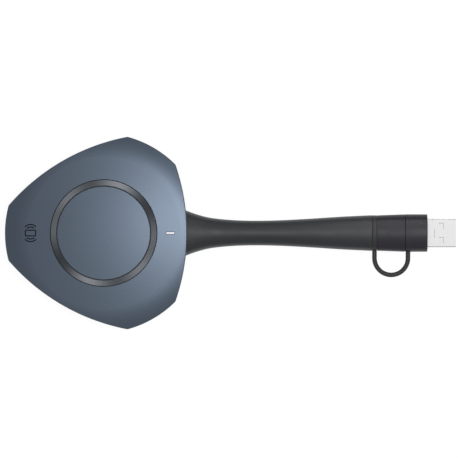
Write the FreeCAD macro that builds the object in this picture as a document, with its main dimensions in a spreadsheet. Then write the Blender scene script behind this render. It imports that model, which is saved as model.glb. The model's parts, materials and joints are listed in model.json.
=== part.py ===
# Wireless display dongle: a push-button puck, a flexible tail and a plug end.
#
# Frame: the origin is on the button's axis, on the plane that the dongle
# rests on. +X runs along the tail to the plug, +Z is up, and +Y is to the
# left of someone who looks along the tail towards the plug. All sizes are
# in millimetres and angles are in degrees.
import FreeCAD, Part
import Sketcher
import math
import os

# Each driving dimension is written once: its name, its value and what it is.
SIZES = [
    # The puck's outline: three long sides and three short tips, all arcs
    ("side_reach", 34.94, "centre to the middle of a long side"),
    ("side_radius", 88.0, "radius of a long side"),
    ("tip_reach", 41.56, "centre to the middle of a tip"),
    ("tip_centre", 3.44, "centre of a tip's arc beyond the button's axis"),
    ("corner_round", 2.0, "rounding where a side meets a tip"),
    # Heights of the puck and the thickness of its shells
    ("puck_height", 14.0, "top of the crown above the table"),
    ("crown_radius", 520.0, "radius of the slightly domed top"),
    ("dome_reach", 32.4, "dome ends and its steeper border starts this far from the button's axis"),
    ("border_radius", 55.0, "radius of that border"),
    ("underside_height", 0.4, "gap between the lower shell and the table"),
    ("wall", 1.8, "side wall of both shells"),
    ("roof", 1.8, "roof of the upper shell"),
    ("floor", 1.8, "floor of the lower shell"),
    ("rim_round", 0.35, "rounding of the top rim"),
    ("base_round", 1.8, "rounding of the bottom rim"),
    ("lip_height", 0.8, "height of the lip between the shells"),
    ("lip_thickness", 0.7, "thickness of that lip"),
    ("fit_gap", 0.1, "clearance of parts that are clipped or laid in"),
    ("running_gap", 0.05, "clearance of parts that slide in each other"),
    # Rubber pad on the underside
    ("pad_inset", 5.0, "edge of the pad inside the puck's outline"),
    ("pad_thickness", 1.0, "thickness of the pad"),
    ("pad_chamfer", 0.3, "chamfer of the pad's edge"),
    # Button, ring and the well that they sit in
    ("button_radius", 19.62, "radius of the button cap"),
    ("button_plate", 1.7, "thickness of the cap at its centre"),
    ("button_travel", 0.5, "stroke of the button and the switch"),
    ("button_chamfer", 0.2, "chamfer of the cap's edge"),
    ("skirt_thickness", 1.3, "wall of the cap's skirt"),
    ("guide_gap", 0.15, "gap between the skirt and the ledge round it"),
    ("ring_gap", 0.36, "visible gap on both sides of the ring"),
    ("ring_width", 2.24, "width of the metal ring"),
    ("ring_height", 1.15, "height of the ring at its outer edge"),
    ("ring_slope", 0.02, "drop of the ring's face towards the button"),
    ("ring_sunk", 0.1, "depth of the ring below the crown"),
    ("ledge_thickness", 1.2, "ledge that carries the ring"),
    ("well_wall", 1.5, "wall round the ring's seat"),
    ("hook_height", 1.0, "height of a catch hook"),
    ("hook_grip", 0.95, "reach of a hook under the ledge"),
    ("hook_width", 5.0, "width of a hook round the skirt"),
    ("post_radius", 2.2, "radius of the post that presses the switch"),
    ("post_length", 0.6, "length of that post under the cap's plate"),
    ("rib_thickness", 0.9, "thickness of the ribs under the cap"),
    ("rib_height", 0.5, "height of those ribs"),
    # Circuit board and its screws
    ("board_thickness", 0.8, "thickness of the board"),
    ("board_gap", 1.0, "gap between the board and the wall"),
    ("board_screw_reach", 29.0, "board screws from the button's axis"),
    ("board_screw_front", 38.0, "direction of the front board screws"),
    ("board_screw_rear", 150.0, "direction of the rear board screws"),
    ("board_post_radius", 2.2, "radius of a post above the board"),
    ("screw_radius", 0.95, "thread radius of all screws"),
    ("screw_head_radius", 1.75, "head radius of all screws"),
    ("screw_head_height", 1.1, "head height of all screws"),
    ("board_screw_length", 2.6, "length of a board screw under its head"),
    ("socket_depth", 0.6, "depth of the cross recess in a head"),
    ("socket_width", 0.4, "width of a slot of that recess"),
    ("socket_span", 2.1, "length of a slot of that recess"),
    # Screws that close the puck
    ("boss_inset", 7.56, "closing screws inside the middle of a tip"),
    ("boss_radius", 3.2, "radius of a screw boss"),
    ("closing_screw_length", 7.4, "length of a closing screw under its head"),
    ("boss_grip", 3.1, "height of the lower boss above the screw's head"),
    # Parts on the board
    ("switch_size", 6.2, "side of the switch body"),
    ("switch_height", 1.9, "height of the switch body"),
    ("plunger_radius", 1.65, "radius of the switch plunger"),
    ("plunger_stand", 0.6, "plunger above the switch body"),
    ("plunger_foot", 0.9, "plunger inside the switch body"),
    ("video_chip_size", 14.0, "side of the video processor"),
    ("video_chip_height", 1.2, "height of the video processor"),
    ("video_chip_x", -4.0, "place of the video processor"),
    ("heat_pad_margin", 0.5, "edge of the processor outside the heat pad"),
    ("memory_length", 11.0, "length of a memory chip"),
    ("memory_width", 7.5, "width of a memory chip"),
    ("memory_height", 0.9, "height of a memory chip"),
    ("memory_reach", 10.0, "memory chips beside the switch"),
    ("can_sheet", 0.2, "sheet of the two shield cans"),
    ("processor_can_size", 20.0, "side of the can over the processor"),
    ("processor_can_height", 2.5, "height of that can"),
    ("radio_can_length", 12.0, "length of the can over the radio"),
    ("radio_can_width", 8.0, "width of that can"),
    ("radio_can_height", 1.5, "height of that can"),
    ("radio_x", 4.0, "place of the radio along the tail"),
    ("radio_y", -27.6, "place of the radio across the tail"),
    ("radio_chip_size", 5.5, "side of the radio chip"),
    ("radio_chip_height", 0.8, "height of the radio chip"),
    ("antenna_inset", 4.74, "antennas inside the middle of a long side"),
    ("antenna_length", 15.0, "length of an antenna"),
    ("antenna_height", 1.5, "height of an antenna over the board"),
    ("antenna_sheet", 0.3, "sheet of the antennas"),
    ("antenna_foot", 1.2, "length of an antenna's foot"),
    ("coil_gap", 0.8, "gap between the pairing coil and the screw boss"),
    ("coil_length", 10.0, "pairing coil across the tail"),
    ("coil_width", 6.4, "pairing coil along the tail"),
    ("coil_band", 1.4, "width of the coil's winding"),
    ("coil_height", 0.4, "height of the coil's winding"),
    ("ferrite_height", 0.3, "sheet under the coil"),
    # Status light
    ("light_inset", 6.94, "light's window inside the middle of a long side"),
    ("light_length", 3.5, "length of the light's window"),
    ("light_width", 0.85, "width of the light's window"),
    ("light_flange", 0.65, "flange round the foot of the light pipe"),
    ("light_flange_height", 0.7, "height of that flange"),
    ("light_air", 0.1, "air between the lamp and the light pipe"),
    ("lamp_length", 1.6, "length of the lamp on the board"),
    ("lamp_width", 0.8, "width of that lamp"),
    ("lamp_height", 0.6, "height of that lamp"),
    # Cable, its wires and its plug on the board
    ("cable_radius", 1.7, "radius of the cable inside the tail"),
    ("cable_gap", 0.1, "gap between the cable and the board"),
    ("cable_inner", 6.3, "cable's jacket inside the flange of its sleeve"),
    ("cable_outer", 3.3, "cable's jacket beyond the end of its sleeve"),
    ("wire_radius", 0.3, "radius of a wire"),
    ("wire_pitch", 0.8, "wires side by side"),
    ("wire_lift", 0.7, "rows of wires above and below the axis"),
    ("header_x", 13.6, "near end of the socket on the board"),
    ("header_length", 3.4, "length of that socket"),
    ("header_width", 6.4, "width of that socket"),
    ("header_depth", 3.2, "depth of that socket under the board"),
    ("header_wall", 0.5, "wall of that socket"),
    ("wire_plug_length", 5.6, "length of the plug on the wires"),
    # Tail: an oval sleeve, by its half widths and half heights on stations,
    # whose runs are measured from its root
    ("flange_inset", 4.14, "inner face of the sleeve's flange inside the middle of a long side"),
    ("flange_thickness", 1.4, "thickness of the flange"),
    ("flange_half_width", 11.5, "half width of the flange"),
    ("flange_gap", 0.3, "gap between the flange and the floor"),
    ("flange_air", 0.5, "gap between the flange and the roof"),
    ("throat_half_width", 8.4, "half width of the sleeve in the wall"),
    ("throat_step", 0.8, "sleeve in the wall lower than at the root"),
    ("anchor_gap", 0.2, "gap between the anchor posts and the flange"),
    ("anchor_thickness", 1.1, "thickness of the anchor posts"),
    ("anchor_width", 4.0, "width of an anchor post"),
    ("anchor_y", 8.0, "anchor posts from the cable's axis"),
    ("tail_fullness", 0.84, "side radius of the oval over its half height"),
    ("root_inset", 1.69, "root of the tail inside the middle of a long side"),
    ("root_half_width", 9.95, "half width there"),
    ("root_cover", 2.3, "half height there less than half the puck's height"),
    ("flare_run", 5.25, "station on the flare, from the root"),
    ("flare_half_width", 8.0, "half width there"),
    ("flare_half_height", 4.35, "half height there"),
    ("shoulder_run", 10.75, "station behind the flare"),
    ("shoulder_half_width", 6.53, "half width there"),
    ("shoulder_half_height", 3.98, "half height there"),
    ("slope_run", 17.25, "station on the slope to the neck"),
    ("slope_half_width", 5.7, "half width there"),
    ("slope_half_height", 3.7, "half height there"),
    ("neck_run", 24.75, "station at the start of the neck"),
    ("neck_half_width", 5.24, "half width there"),
    ("neck_half_height", 3.54, "half height there"),
    ("waist_run", 33.25, "station at the narrowest place"),
    ("waist_half_width", 5.15, "half width there"),
    ("waist_half_height", 3.5, "half height there"),
    ("rise_run", 42.75, "station where the tail widens again"),
    ("rise_half_width", 5.42, "half width there"),
    ("rise_half_height", 3.58, "half height there"),
    ("swell_run", 53.75, "station on the swelling"),
    ("swell_half_width", 6.02, "half width there"),
    ("swell_half_height", 3.78, "half height there"),
    ("crest_run", 66.25, "station near the plug end"),
    ("crest_half_width", 6.82, "half width there"),
    ("crest_half_height", 4.02, "half height there"),
    ("brow_run", 72.95, "station before the end"),
    ("brow_half_width", 7.16, "half width there"),
    ("brow_half_height", 4.13, "half height there"),
    ("sleeve_run", 79.45, "end of the sleeve"),
    ("end_half_width", 7.46, "half width there"),
    ("end_half_height", 4.22, "half height there"),
    # Grip of the small plug, with the groove for the tether's band
    ("band_gap", 0.12, "groove on both sides of the tether's band"),
    ("band_width", 2.0, "width of the tether's band"),
    ("band_thickness", 1.2, "thickness of the tether's band"),
    ("grip_length", 13.9, "front face of the grip beyond the end of the sleeve"),
    ("grip_half_width", 7.88, "half width of the grip at its front"),
    ("grip_half_height", 4.35, "half height of the grip at its front"),
    ("grip_nose", 1.4, "front wall of the grip"),
    ("grip_step", 0.2, "step on the grip's front face, at the bottom of the seam"),
    ("grip_step_inset", 0.6, "edge of that step inside the grip's outline"),
    ("grip_room_setback", 0.1, "room in the grip starts before the end of the cable's jacket"),
    ("grip_room_height", 3.6, "height of that room"),
    ("grip_room_side", 0.275, "gap between the plug's shell and the side of that room"),
    # Small plug, sized like the standard reversible one
    ("plug_width", 8.25, "width of the plug's shell"),
    ("plug_height", 2.4, "height of the plug's shell"),
    ("plug_sheet", 0.25, "sheet of the plug's shell"),
    ("plug_reach", 6.65, "plug in front of the grip"),
    ("plug_root", 5.4, "plug's shell inside the grip"),
    ("plug_slot_side", 0.65, "side of the plug beside the slot for the tongue"),
    ("plug_slot_height", 1.1, "height of that slot"),
    ("plug_slot_depth", 4.9, "depth of that slot"),
    ("plug_insert_sunk", 0.3, "insert behind the mouth of the shell"),
    ("contact_pitch", 0.5, "contacts side by side"),
    ("contact_width", 0.25, "width of a contact"),
    ("contact_height", 0.12, "height of a contact"),
    ("contact_length", 4.2, "length of a contact"),
    ("insert_back", 1.0, "back of the insert inside the back of the shell"),
    ("card_length", 4.9, "length of the circuit card in the grip"),
    ("wire_landing", 1.4, "length of the wires on that card"),
    ("card_side", 0.175, "gap between that card and the plug's shell"),
    ("card_thickness", 0.8, "thickness of that card"),
    # Adapter that covers the small plug
    ("seam", 0.3, "gap between the grip and the adapter"),
    ("adapter_length", 9.2, "length of the adapter's housing"),
    ("adapter_half_width", 7.9, "half width of the adapter"),
    ("adapter_half_height", 4.35, "half height of the adapter"),
    ("adapter_rear_wall", 2.5, "rear wall of the adapter"),
    ("adapter_edge", 0.35, "rounding of the adapter's front edge"),
    ("socket_sheet", 0.3, "sheet of the socket's shell"),
    ("socket_length", 7.2, "length of the socket's shell"),
    ("tongue_side", 0.13, "gap between the socket's tongue and the side of the slot"),
    ("tongue_thickness", 0.7, "thickness of the socket's tongue"),
    ("tongue_length", 4.45, "length of the socket's tongue"),
    ("tongue_base", 0.8, "thickness of the tongue's base"),
    # Large plug, sized like the standard one
    ("usb_width", 12.0, "width of the large plug's shell"),
    ("usb_height", 4.5, "height of the large plug's shell"),
    ("usb_sheet", 0.3, "sheet of the large plug's shell"),
    ("usb_reach", 12.0, "large plug in front of the adapter"),
    ("usb_round", 0.5, "rounding of the shell's long edges"),
    ("latch_width", 2.5, "latch window across the plug"),
    ("latch_length", 2.0, "latch window along the plug"),
    ("latch_spread", 3.0, "latch windows from the plug's middle"),
    ("latch_setback", 5.15, "latch windows behind the plug's tip"),
    ("insert_thickness", 1.85, "thickness of the plug's insert"),
    ("insert_sunk", 0.8, "insert behind the plug's tip"),
    ("insert_length", 12.0, "length of the insert"),
    ("blade_width", 1.2, "width of a contact blade"),
    ("blade_length", 9.6, "length of a contact blade"),
    ("blade_height", 0.15, "height of a contact blade"),
    ("blade_inner", 1.0, "inner blades from the middle"),
    ("blade_outer", 3.5, "outer blades from the middle"),
    ("bridge_length", 2.6, "length of the board between the plugs"),
    ("bridge_width", 9.5, "width of that board"),
    ("bridge_thickness", 0.6, "thickness of that board"),
    # Tether between the grip and the adapter
    ("tether_radius", 0.95, "radius of the tether's loop"),
    ("tether_setback", 1.3, "tether's foot behind the adapter's rear face"),
    ("tether_straight", 10.4, "straight stretch ends this far from the axis"),
    ("tether_foot", 2.6, "tether inside the adapter"),
]

# The puck repeats itself every third of a turn.
THIRDS = (0, 120, 240)

# Cutting shapes run BEYOND the face that they break through, and shapes that
# are joined run into each other by WELD.
BEYOND = "1"
WELD = "0.2"

# Places that follow from the driving dimensions, as expressions
CAP_UNDERSIDE = "(dim.puck_height - dim.button_plate)"
PLUNGER_TOP = f"({CAP_UNDERSIDE} - dim.post_length)"
SWITCH_TOP = f"({PLUNGER_TOP} - dim.plunger_stand)"
BOARD_TOP = f"({SWITCH_TOP} - dim.switch_height)"
BOARD_BASE = f"({BOARD_TOP} - dim.board_thickness)"
AXIS = f"({BOARD_BASE} - dim.cable_gap - dim.cable_radius)"
HEAD_SEAT = f"({AXIS} - dim.boss_grip)"
FLOOR_TOP = "(dim.underside_height + dim.floor)"
PAD_TOP = "dim.pad_thickness"
TIP_RADIUS = "(dim.tip_reach + dim.tip_centre)"
ANTENNA_REACH = "(dim.side_reach - dim.antenna_inset)"
LIGHT_X = "(dim.side_reach - dim.light_inset)"
RING_INNER = "(dim.button_radius + dim.ring_gap)"
RING_OUTER = f"({RING_INNER} + dim.ring_width)"
SEAT_RADIUS = f"({RING_OUTER} + dim.ring_gap)"
GUIDE_RADIUS = "(dim.button_radius + dim.guide_gap)"
RING_TOP = f"(dim.puck_height - {RING_OUTER}^2 / (2 * dim.crown_radius) - dim.ring_sunk)"
LEDGE_TOP = f"({RING_TOP} - dim.ring_height)"
LEDGE_BOTTOM = f"({LEDGE_TOP} - dim.ledge_thickness)"
LAMP_TOP = f"({BOARD_TOP} + dim.lamp_height)"
BOSS_REACH = "(dim.tip_reach - dim.boss_inset)"
PILOT = "(dim.screw_radius + dim.running_gap)"
COIL_X = f"-({BOSS_REACH} - dim.boss_radius - dim.coil_gap - dim.coil_width / 2)"
ROOT_HALF_HEIGHT = "(dim.puck_height / 2 - dim.root_cover)"
CABLE_BORE = "(dim.cable_radius + dim.running_gap)"
ROOT_X = "(dim.side_reach - dim.root_inset)"
FLANGE_X = "(dim.side_reach - dim.flange_inset)"
ANCHOR_X = f"({FLANGE_X} - dim.anchor_gap - dim.anchor_thickness)"
SLEEVE_END = f"({ROOT_X} + dim.sleeve_run)"
GRIP_END = f"({SLEEVE_END} + dim.grip_length)"
CABLE_START = f"({FLANGE_X} - dim.cable_inner)"
CABLE_END = f"({SLEEVE_END} + dim.cable_outer)"
ROOM_START = f"({CABLE_END} - dim.grip_room_setback)"
SLOT_WIDTH = "(dim.plug_width - 2 * dim.plug_slot_side)"
CARD_WIDTH = "(dim.plug_width - 2 * dim.plug_sheet - 2 * dim.card_side)"
BAND_START = f"({SLEEVE_END} + dim.band_gap)"
BAND_END = f"({BAND_START} + dim.band_width)"
GRIP_START = f"({BAND_END} + dim.band_gap)"
PLUG_TIP = f"({GRIP_END} + dim.plug_reach)"
INSERT_TIP = f"({PLUG_TIP} - dim.plug_insert_sunk)"
PLUG_BACK = f"({GRIP_END} - dim.plug_root)"
CARD_FRONT = f"({PLUG_BACK} + dim.insert_back)"
ADAPTER_START = f"({GRIP_END} + dim.seam)"
ADAPTER_END = f"({ADAPTER_START} + dim.adapter_length)"
USB_TIP = f"({ADAPTER_END} + dim.usb_reach)"
POCKET_START = f"({ADAPTER_START} + dim.adapter_rear_wall)"
SOCKET_START = f"({ADAPTER_START} + dim.fit_gap)"
SOCKET_END = f"({SOCKET_START} + dim.socket_length)"
SOCKET_WIDTH = "(dim.plug_width + 2 * dim.running_gap)"
SOCKET_HEIGHT = "(dim.plug_height + 2 * dim.running_gap)"
TETHER_NEAR = f"({BAND_START} + dim.band_width / 2)"
TETHER_FAR = f"({ADAPTER_START} + dim.tether_setback)"
USB_ROOM_WIDTH = "(dim.usb_width - 2 * dim.usb_sheet)"
USB_ROOM_HEIGHT = "(dim.usb_height - 2 * dim.usb_sheet)"
INSERT_BOTTOM = f"({AXIS} + {USB_ROOM_HEIGHT} / 2 - dim.running_gap - dim.insert_thickness)"

doc = FreeCAD.newDocument("display_dongle")
nodes = []


def add(kind, name):
    """Add an object of the document."""
    return doc.addObject(kind, name)


def bind(item, **expressions):
    """Tie properties of an object to expressions of the sheet."""
    for name, expression in expressions.items():
        item.setExpression(name, expression)
    return item


def place(item, x="0", y="0", z="0"):
    """Tie an object's place to expressions."""
    for letter, expression in zip("xyz", (x, y, z)):
        item.setExpression(f".Placement.Base.{letter}", expression)
    return item


def node(item, name):
    """Name a finished sub-part."""
    item.Label = name
    nodes.append(item)
    return item


def write_sheet():
    """Keep the driving dimensions in a sheet whose cells have their names."""
    sheet = add("Spreadsheet::Sheet", "dim")
    for row, (name, value, meaning) in enumerate(SIZES, 1):
        sheet.set(f"A{row}", meaning)
        sheet.set(f"B{row}", str(value))
        sheet.setAlias(f"B{row}", name)
    doc.recompute()


# Solids made of primitives


def box(name, length, width, height, x, y, z):
    """A block centred on x and y, standing on z."""
    block = bind(add("Part::Box", name), Length=length, Width=width, Height=height)
    return place(block, f"({x}) - ({length}) / 2", f"({y}) - ({width}) / 2", z)


def block_from(name, start, length, width, height, y=AXIS, z=AXIS):
    """A block that starts at a station of the tail, centred on y and z."""
    block = bind(add("Part::Box", name), Length=length, Width=width, Height=height)
    return place(block, start, f"({y}) - ({width}) / 2", f"({z}) - ({height}) / 2")


def post(name, radius, bottom, top, x="0", y="0"):
    """An upright cylinder between two heights."""
    cylinder = bind(add("Part::Cylinder", name), Radius=radius, Height=f"({top}) - ({bottom})")
    return place(cylinder, x, y, bottom)


def rod(name, radius, start, end, y="0", z=AXIS):
    """A cylinder along the tail between two stations."""
    cylinder = add("Part::Cylinder", name)
    cylinder.Placement = FreeCAD.Placement(FreeCAD.Vector(), FreeCAD.Rotation(FreeCAD.Vector(0, 1, 0), 90))
    bind(cylinder, Radius=radius, Height=f"({end}) - ({start})")
    return place(cylinder, start, y, z)


def cross_rod(name, radius, x, start, end, z=AXIS):
    """A cylinder across the tail, from y = start down to y = end."""
    cylinder = add("Part::Cylinder", name)
    cylinder.Placement = FreeCAD.Placement(FreeCAD.Vector(), FreeCAD.Rotation(FreeCAD.Vector(1, 0, 0), 90))
    bind(cylinder, Radius=radius, Height=f"({start}) - ({end})")
    return place(cylinder, x, start, z)


def fuse(name, shapes):
    """Join several shapes."""
    joined = add("Part::MultiFuse", name)
    joined.Shapes = shapes
    return joined


def common(name, shapes):
    """Keep what several shapes share."""
    shared = add("Part::MultiCommon", name)
    shared.Shapes = shapes
    return shared


def cut(name, base, *tools):
    """Take one or several tools out of a base."""
    result = add("Part::Cut", name)
    result.Base = base
    result.Tool = tools[0] if len(tools) == 1 else fuse(f"{name}_tools", list(tools))
    return result


def group(name, shapes):
    """Keep several separate solids in one sub-part."""
    together = add("Part::Compound", name)
    together.Links = shapes
    return together


def rounded(name, base, radius, chooses):
    """Round the edges of a base that chooses() picks, by a size of the sheet."""
    doc.recompute()
    size = doc.dim.get(radius)
    fillet = add("Part::Fillet", name)
    fillet.Base = base
    fillet.Edges = [(number, size, size) for number, edge in enumerate(base.Shape.Edges, 1) if chooses(edge)]
    return fillet


def is_upright(edge):
    """Tell an upright edge from one that runs round the puck."""
    bounds = edge.BoundBox
    return bounds.ZLength > max(bounds.XLength, bounds.YLength, 1)


def is_top_rim(edge):
    """Tell the edges where the domed top meets the puck's outline."""
    middle = edge.valueAt((edge.FirstParameter + edge.LastParameter) / 2)
    outermost = math.hypot(middle.x, middle.y) > doc.dim.side_reach - doc.dim.fit_gap
    return outermost and edge.BoundBox.ZMin > doc.dim.puck_height - 3 and not is_upright(edge)


def at_polar(reach, angle):
    """Expressions of the x and y of a place on a circle round the button."""
    return f"({reach}) * cos({angle} * 1 deg)", f"({reach}) * sin({angle} * 1 deg)"


def puck_prism(name, inset, bottom, top):
    """The puck's outline, drawn in by inset all round, between two heights."""
    discs = []
    for third in THIRDS:
        for role, turn, radius in (("side", third, "dim.side_radius"), ("tip", third + 180, TIP_RADIUS)):
            x, y = at_polar(f"dim.{role}_reach - {radius}", turn)
            discs.append(post(f"{name}_{role}_{third}", f"{radius} - ({inset})", bottom, top, x, y))
    return common(name, discs)


def crown(name, depth="0"):
    """A turned block under the domed top, or under a surface at some depth.

    The dome is a wide arc, and a tighter arc runs on from it to the rim.
    """
    body = add("PartDesign::Body", name)
    sketch = body.newObject("Sketcher::SketchObject", f"{name}_profile")
    sketch.AttachmentSupport = [(origin_plane(body, "XZ_Plane"), "")]
    sketch.MapMode = "FlatFace"
    # The lines start near their size, and the constraints then set it.
    broad, tight, height, reach, end = 520, 55, 14, 32.4, 42.6
    lean = math.asin(reach / broad)
    centre = (broad - tight) * math.sin(lean), height - broad + (broad - tight) * math.cos(lean)
    fall = math.asin((end - centre[0]) / tight)
    low = centre[1] + tight * math.cos(fall)
    border = add_arc(sketch, centre, tight, math.pi / 2 - fall, math.pi / 2 - lean)
    dome = add_arc(sketch, (0, height - broad), broad, math.pi / 2 - lean, math.pi / 2)
    axis, base, side = [
        sketch.addGeometry(Part.LineSegment(FreeCAD.Vector(*start, 0), FreeCAD.Vector(*stop, 0)), False)
        for start, stop in (((0, height), (0, 0)), ((0, 0), (end, 0)), ((end, 0), (end, low)))]
    sketch.addConstraint(Sketcher.Constraint("Tangent", border, 2, dome, 1))
    sketch.addConstraint(Sketcher.Constraint("PointOnObject", dome, 3, -2))
    sketch.addConstraint(Sketcher.Constraint("Coincident", dome, 2, axis, 1))
    sketch.addConstraint(Sketcher.Constraint("Vertical", axis))
    sketch.addConstraint(Sketcher.Constraint("Coincident", axis, 2, -1, 1))
    sketch.addConstraint(Sketcher.Constraint("Coincident", axis, 2, base, 1))
    sketch.addConstraint(Sketcher.Constraint("Horizontal", base))
    sketch.addConstraint(Sketcher.Constraint("Coincident", base, 2, side, 1))
    sketch.addConstraint(Sketcher.Constraint("Vertical", side))
    sketch.addConstraint(Sketcher.Constraint("Coincident", side, 2, border, 1))
    radius = f"(dim.crown_radius - ({depth}))"
    tie(sketch, Sketcher.Constraint("Radius", dome, broad), radius)
    tie(sketch, Sketcher.Constraint("Radius", border, tight), f"dim.border_radius - ({depth})")
    tie(sketch, Sketcher.Constraint("DistanceY", -1, 1, dome, 2, height), f"dim.puck_height - ({depth})")
    tie(sketch, Sketcher.Constraint("DistanceX", -1, 1, dome, 1, reach),
        f"dim.dome_reach * {radius} / dim.crown_radius")
    tie(sketch, Sketcher.Constraint("DistanceX", -1, 1, base, 2, end), f"dim.tip_reach + {BEYOND}")
    turned = body.newObject("PartDesign::Revolution", f"{name}_turned")
    turned.Profile = sketch
    turned.ReferenceAxis = (sketch, ["V_Axis"])
    turned.Angle = 360
    return body


def under_crown(reach, depth):
    """Height of a point at some depth under the domed top."""
    return f"(dim.puck_height - ({reach})^2 / (2 * dim.crown_radius) - ({depth}))"


# Solids made from sketches


def origin_plane(body, role):
    """Find an origin plane of a body by its role."""
    return next(feature for feature in body.Origin.OriginFeatures if feature.Role == role)


def section_sketch(body, name, station):
    """An empty sketch across the tail, centred on the tail's axis."""
    sketch = body.newObject("Sketcher::SketchObject", name)
    sketch.AttachmentSupport = [(origin_plane(body, "YZ_Plane"), "")]
    sketch.MapMode = "FlatFace"
    sketch.setExpression("AttachmentOffset.Base.y", AXIS)
    sketch.setExpression("AttachmentOffset.Base.z", station)
    return sketch


def tie(sketch, constraint, expression):
    """Add a constraint whose value is an expression."""
    number = sketch.addConstraint(constraint)
    sketch.setExpression(f"Constraints[{number}]", expression)


def add_arc(sketch, centre, radius, start, end):
    """Add an arc to a sketch."""
    circle = Part.Circle(FreeCAD.Vector(*centre, 0), FreeCAD.Vector(0, 0, 1), radius)
    return sketch.addGeometry(Part.ArcOfCircle(circle, start, end), False)


def oval(body, name, station, half_width, half_height, fullness="dim.tail_fullness"):
    """An oval of four arcs: two small ones at its sides and two long ones."""
    sketch = section_sketch(body, name, station)
    # The arcs start near their size, and the constraints then set it.
    side, reach, rise = 3.4, 4.1, 4.25
    broad = (reach**2 + rise**2 - side**2) / (2 * (rise - side))
    turn = math.atan2(broad - rise, reach)
    arcs = [
        add_arc(sketch, (reach, 0), side, -turn, turn),
        add_arc(sketch, (0, rise - broad), broad, turn, math.pi - turn),
        add_arc(sketch, (-reach, 0), side, math.pi - turn, math.pi + turn),
        add_arc(sketch, (0, broad - rise), broad, math.pi + turn, 2 * math.pi - turn),
    ]
    for index, arc in enumerate(arcs):
        sketch.addConstraint(Sketcher.Constraint("Tangent", arc, 2, arcs[(index + 1) % 4], 1))
    right, top, left, bottom = arcs
    sketch.addConstraint(Sketcher.Constraint("PointOnObject", right, 3, -1))
    sketch.addConstraint(Sketcher.Constraint("PointOnObject", left, 3, -1))
    sketch.addConstraint(Sketcher.Constraint("PointOnObject", top, 3, -2))
    sketch.addConstraint(Sketcher.Constraint("Equal", right, left))
    sketch.addConstraint(Sketcher.Constraint("Equal", top, bottom))
    small = f"(({half_height}) * ({fullness}))"
    offset = f"(({half_width}) - {small})"
    tie(sketch, Sketcher.Constraint("Radius", right, side), small)
    tie(sketch, Sketcher.Constraint("DistanceX", -1, 1, right, 3, reach), offset)
    tie(sketch, Sketcher.Constraint("Radius", top, broad),
        f"({offset}^2 + ({half_height})^2 - {small}^2) / (2 * (({half_height}) - {small}))")
    return sketch


def stadium(body, name, station, width, height):
    """A flat shape with round ends."""
    sketch = section_sketch(body, name, station)
    reach, radius = 3, 1.2
    right = add_arc(sketch, (reach, 0), radius, -math.pi / 2, math.pi / 2)
    left = add_arc(sketch, (-reach, 0), radius, math.pi / 2, 3 * math.pi / 2)
    top, bottom = [
        sketch.addGeometry(Part.LineSegment(FreeCAD.Vector(side * reach, side * radius, 0),
                                            FreeCAD.Vector(-side * reach, side * radius, 0)), False)
        for side in (1, -1)]
    for first, second in ((right, top), (top, left), (left, bottom), (bottom, right)):
        sketch.addConstraint(Sketcher.Constraint("Tangent", first, 2, second, 1))
    sketch.addConstraint(Sketcher.Constraint("Equal", right, left))
    sketch.addConstraint(Sketcher.Constraint("Symmetric", right, 3, left, 3, -1, 1))
    sketch.addConstraint(Sketcher.Constraint("PointOnObject", right, 3, -1))
    tie(sketch, Sketcher.Constraint("DistanceX", left, 3, right, 3, 2 * reach), f"({width}) - ({height})")
    tie(sketch, Sketcher.Constraint("Radius", right, radius), f"({height}) / 2")
    return sketch


def rectangle(body, name, station, width, height):
    """A rectangle centred on the tail's axis."""
    sketch = section_sketch(body, name, station)
    reach, rise = 3, 1
    corners = [FreeCAD.Vector(x, y, 0)
               for x, y in ((-reach, -rise), (reach, -rise), (reach, rise), (-reach, rise))]
    sides = [sketch.addGeometry(Part.LineSegment(corners[i], corners[(i + 1) % 4]), False) for i in range(4)]
    for index in range(4):
        sketch.addConstraint(Sketcher.Constraint("Coincident", sides[index], 2, sides[(index + 1) % 4], 1))
        sketch.addConstraint(Sketcher.Constraint("Vertical" if index % 2 else "Horizontal", sides[index]))
    sketch.addConstraint(Sketcher.Constraint("Symmetric", sides[0], 1, sides[2], 1, -1, 1))
    tie(sketch, Sketcher.Constraint("DistanceX", sides[0], 1, sides[0], 2, 2 * reach), width)
    tie(sketch, Sketcher.Constraint("DistanceY", sides[1], 1, sides[1], 2, 2 * rise), height)
    return sketch


def pad(body, sketch, length):
    """Extrude a sketch towards the plug."""
    feature = body.newObject("PartDesign::Pad", f"{sketch.Name}_pad")
    feature.Profile = sketch
    bind(feature, Length=length)
    return feature


def pocket(body, sketch, length):
    """Cut a sketch into the body, towards the plug."""
    doc.recompute()
    before = body.Shape.Volume
    feature = body.newObject("PartDesign::Pocket", f"{sketch.Name}_pocket")
    feature.Profile = sketch
    feature.Reversed = True
    bind(feature, Length=length)
    doc.recompute()
    if body.Shape.Volume >= before:
        raise RuntimeError(f"{feature.Name} cuts nothing")
    return feature


# The puck's shells


def boss_places():
    """Places of the three closing screws, one in each tip."""
    return [at_polar(BOSS_REACH, third + 180) for third in THIRDS]


def board_places():
    """Places of the four board screws."""
    turns = [f"({sign}dim.board_screw_{word})" for word in ("front", "rear") for sign in ("", "-")]
    return [at_polar("dim.board_screw_reach", turn) for turn in turns]


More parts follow.
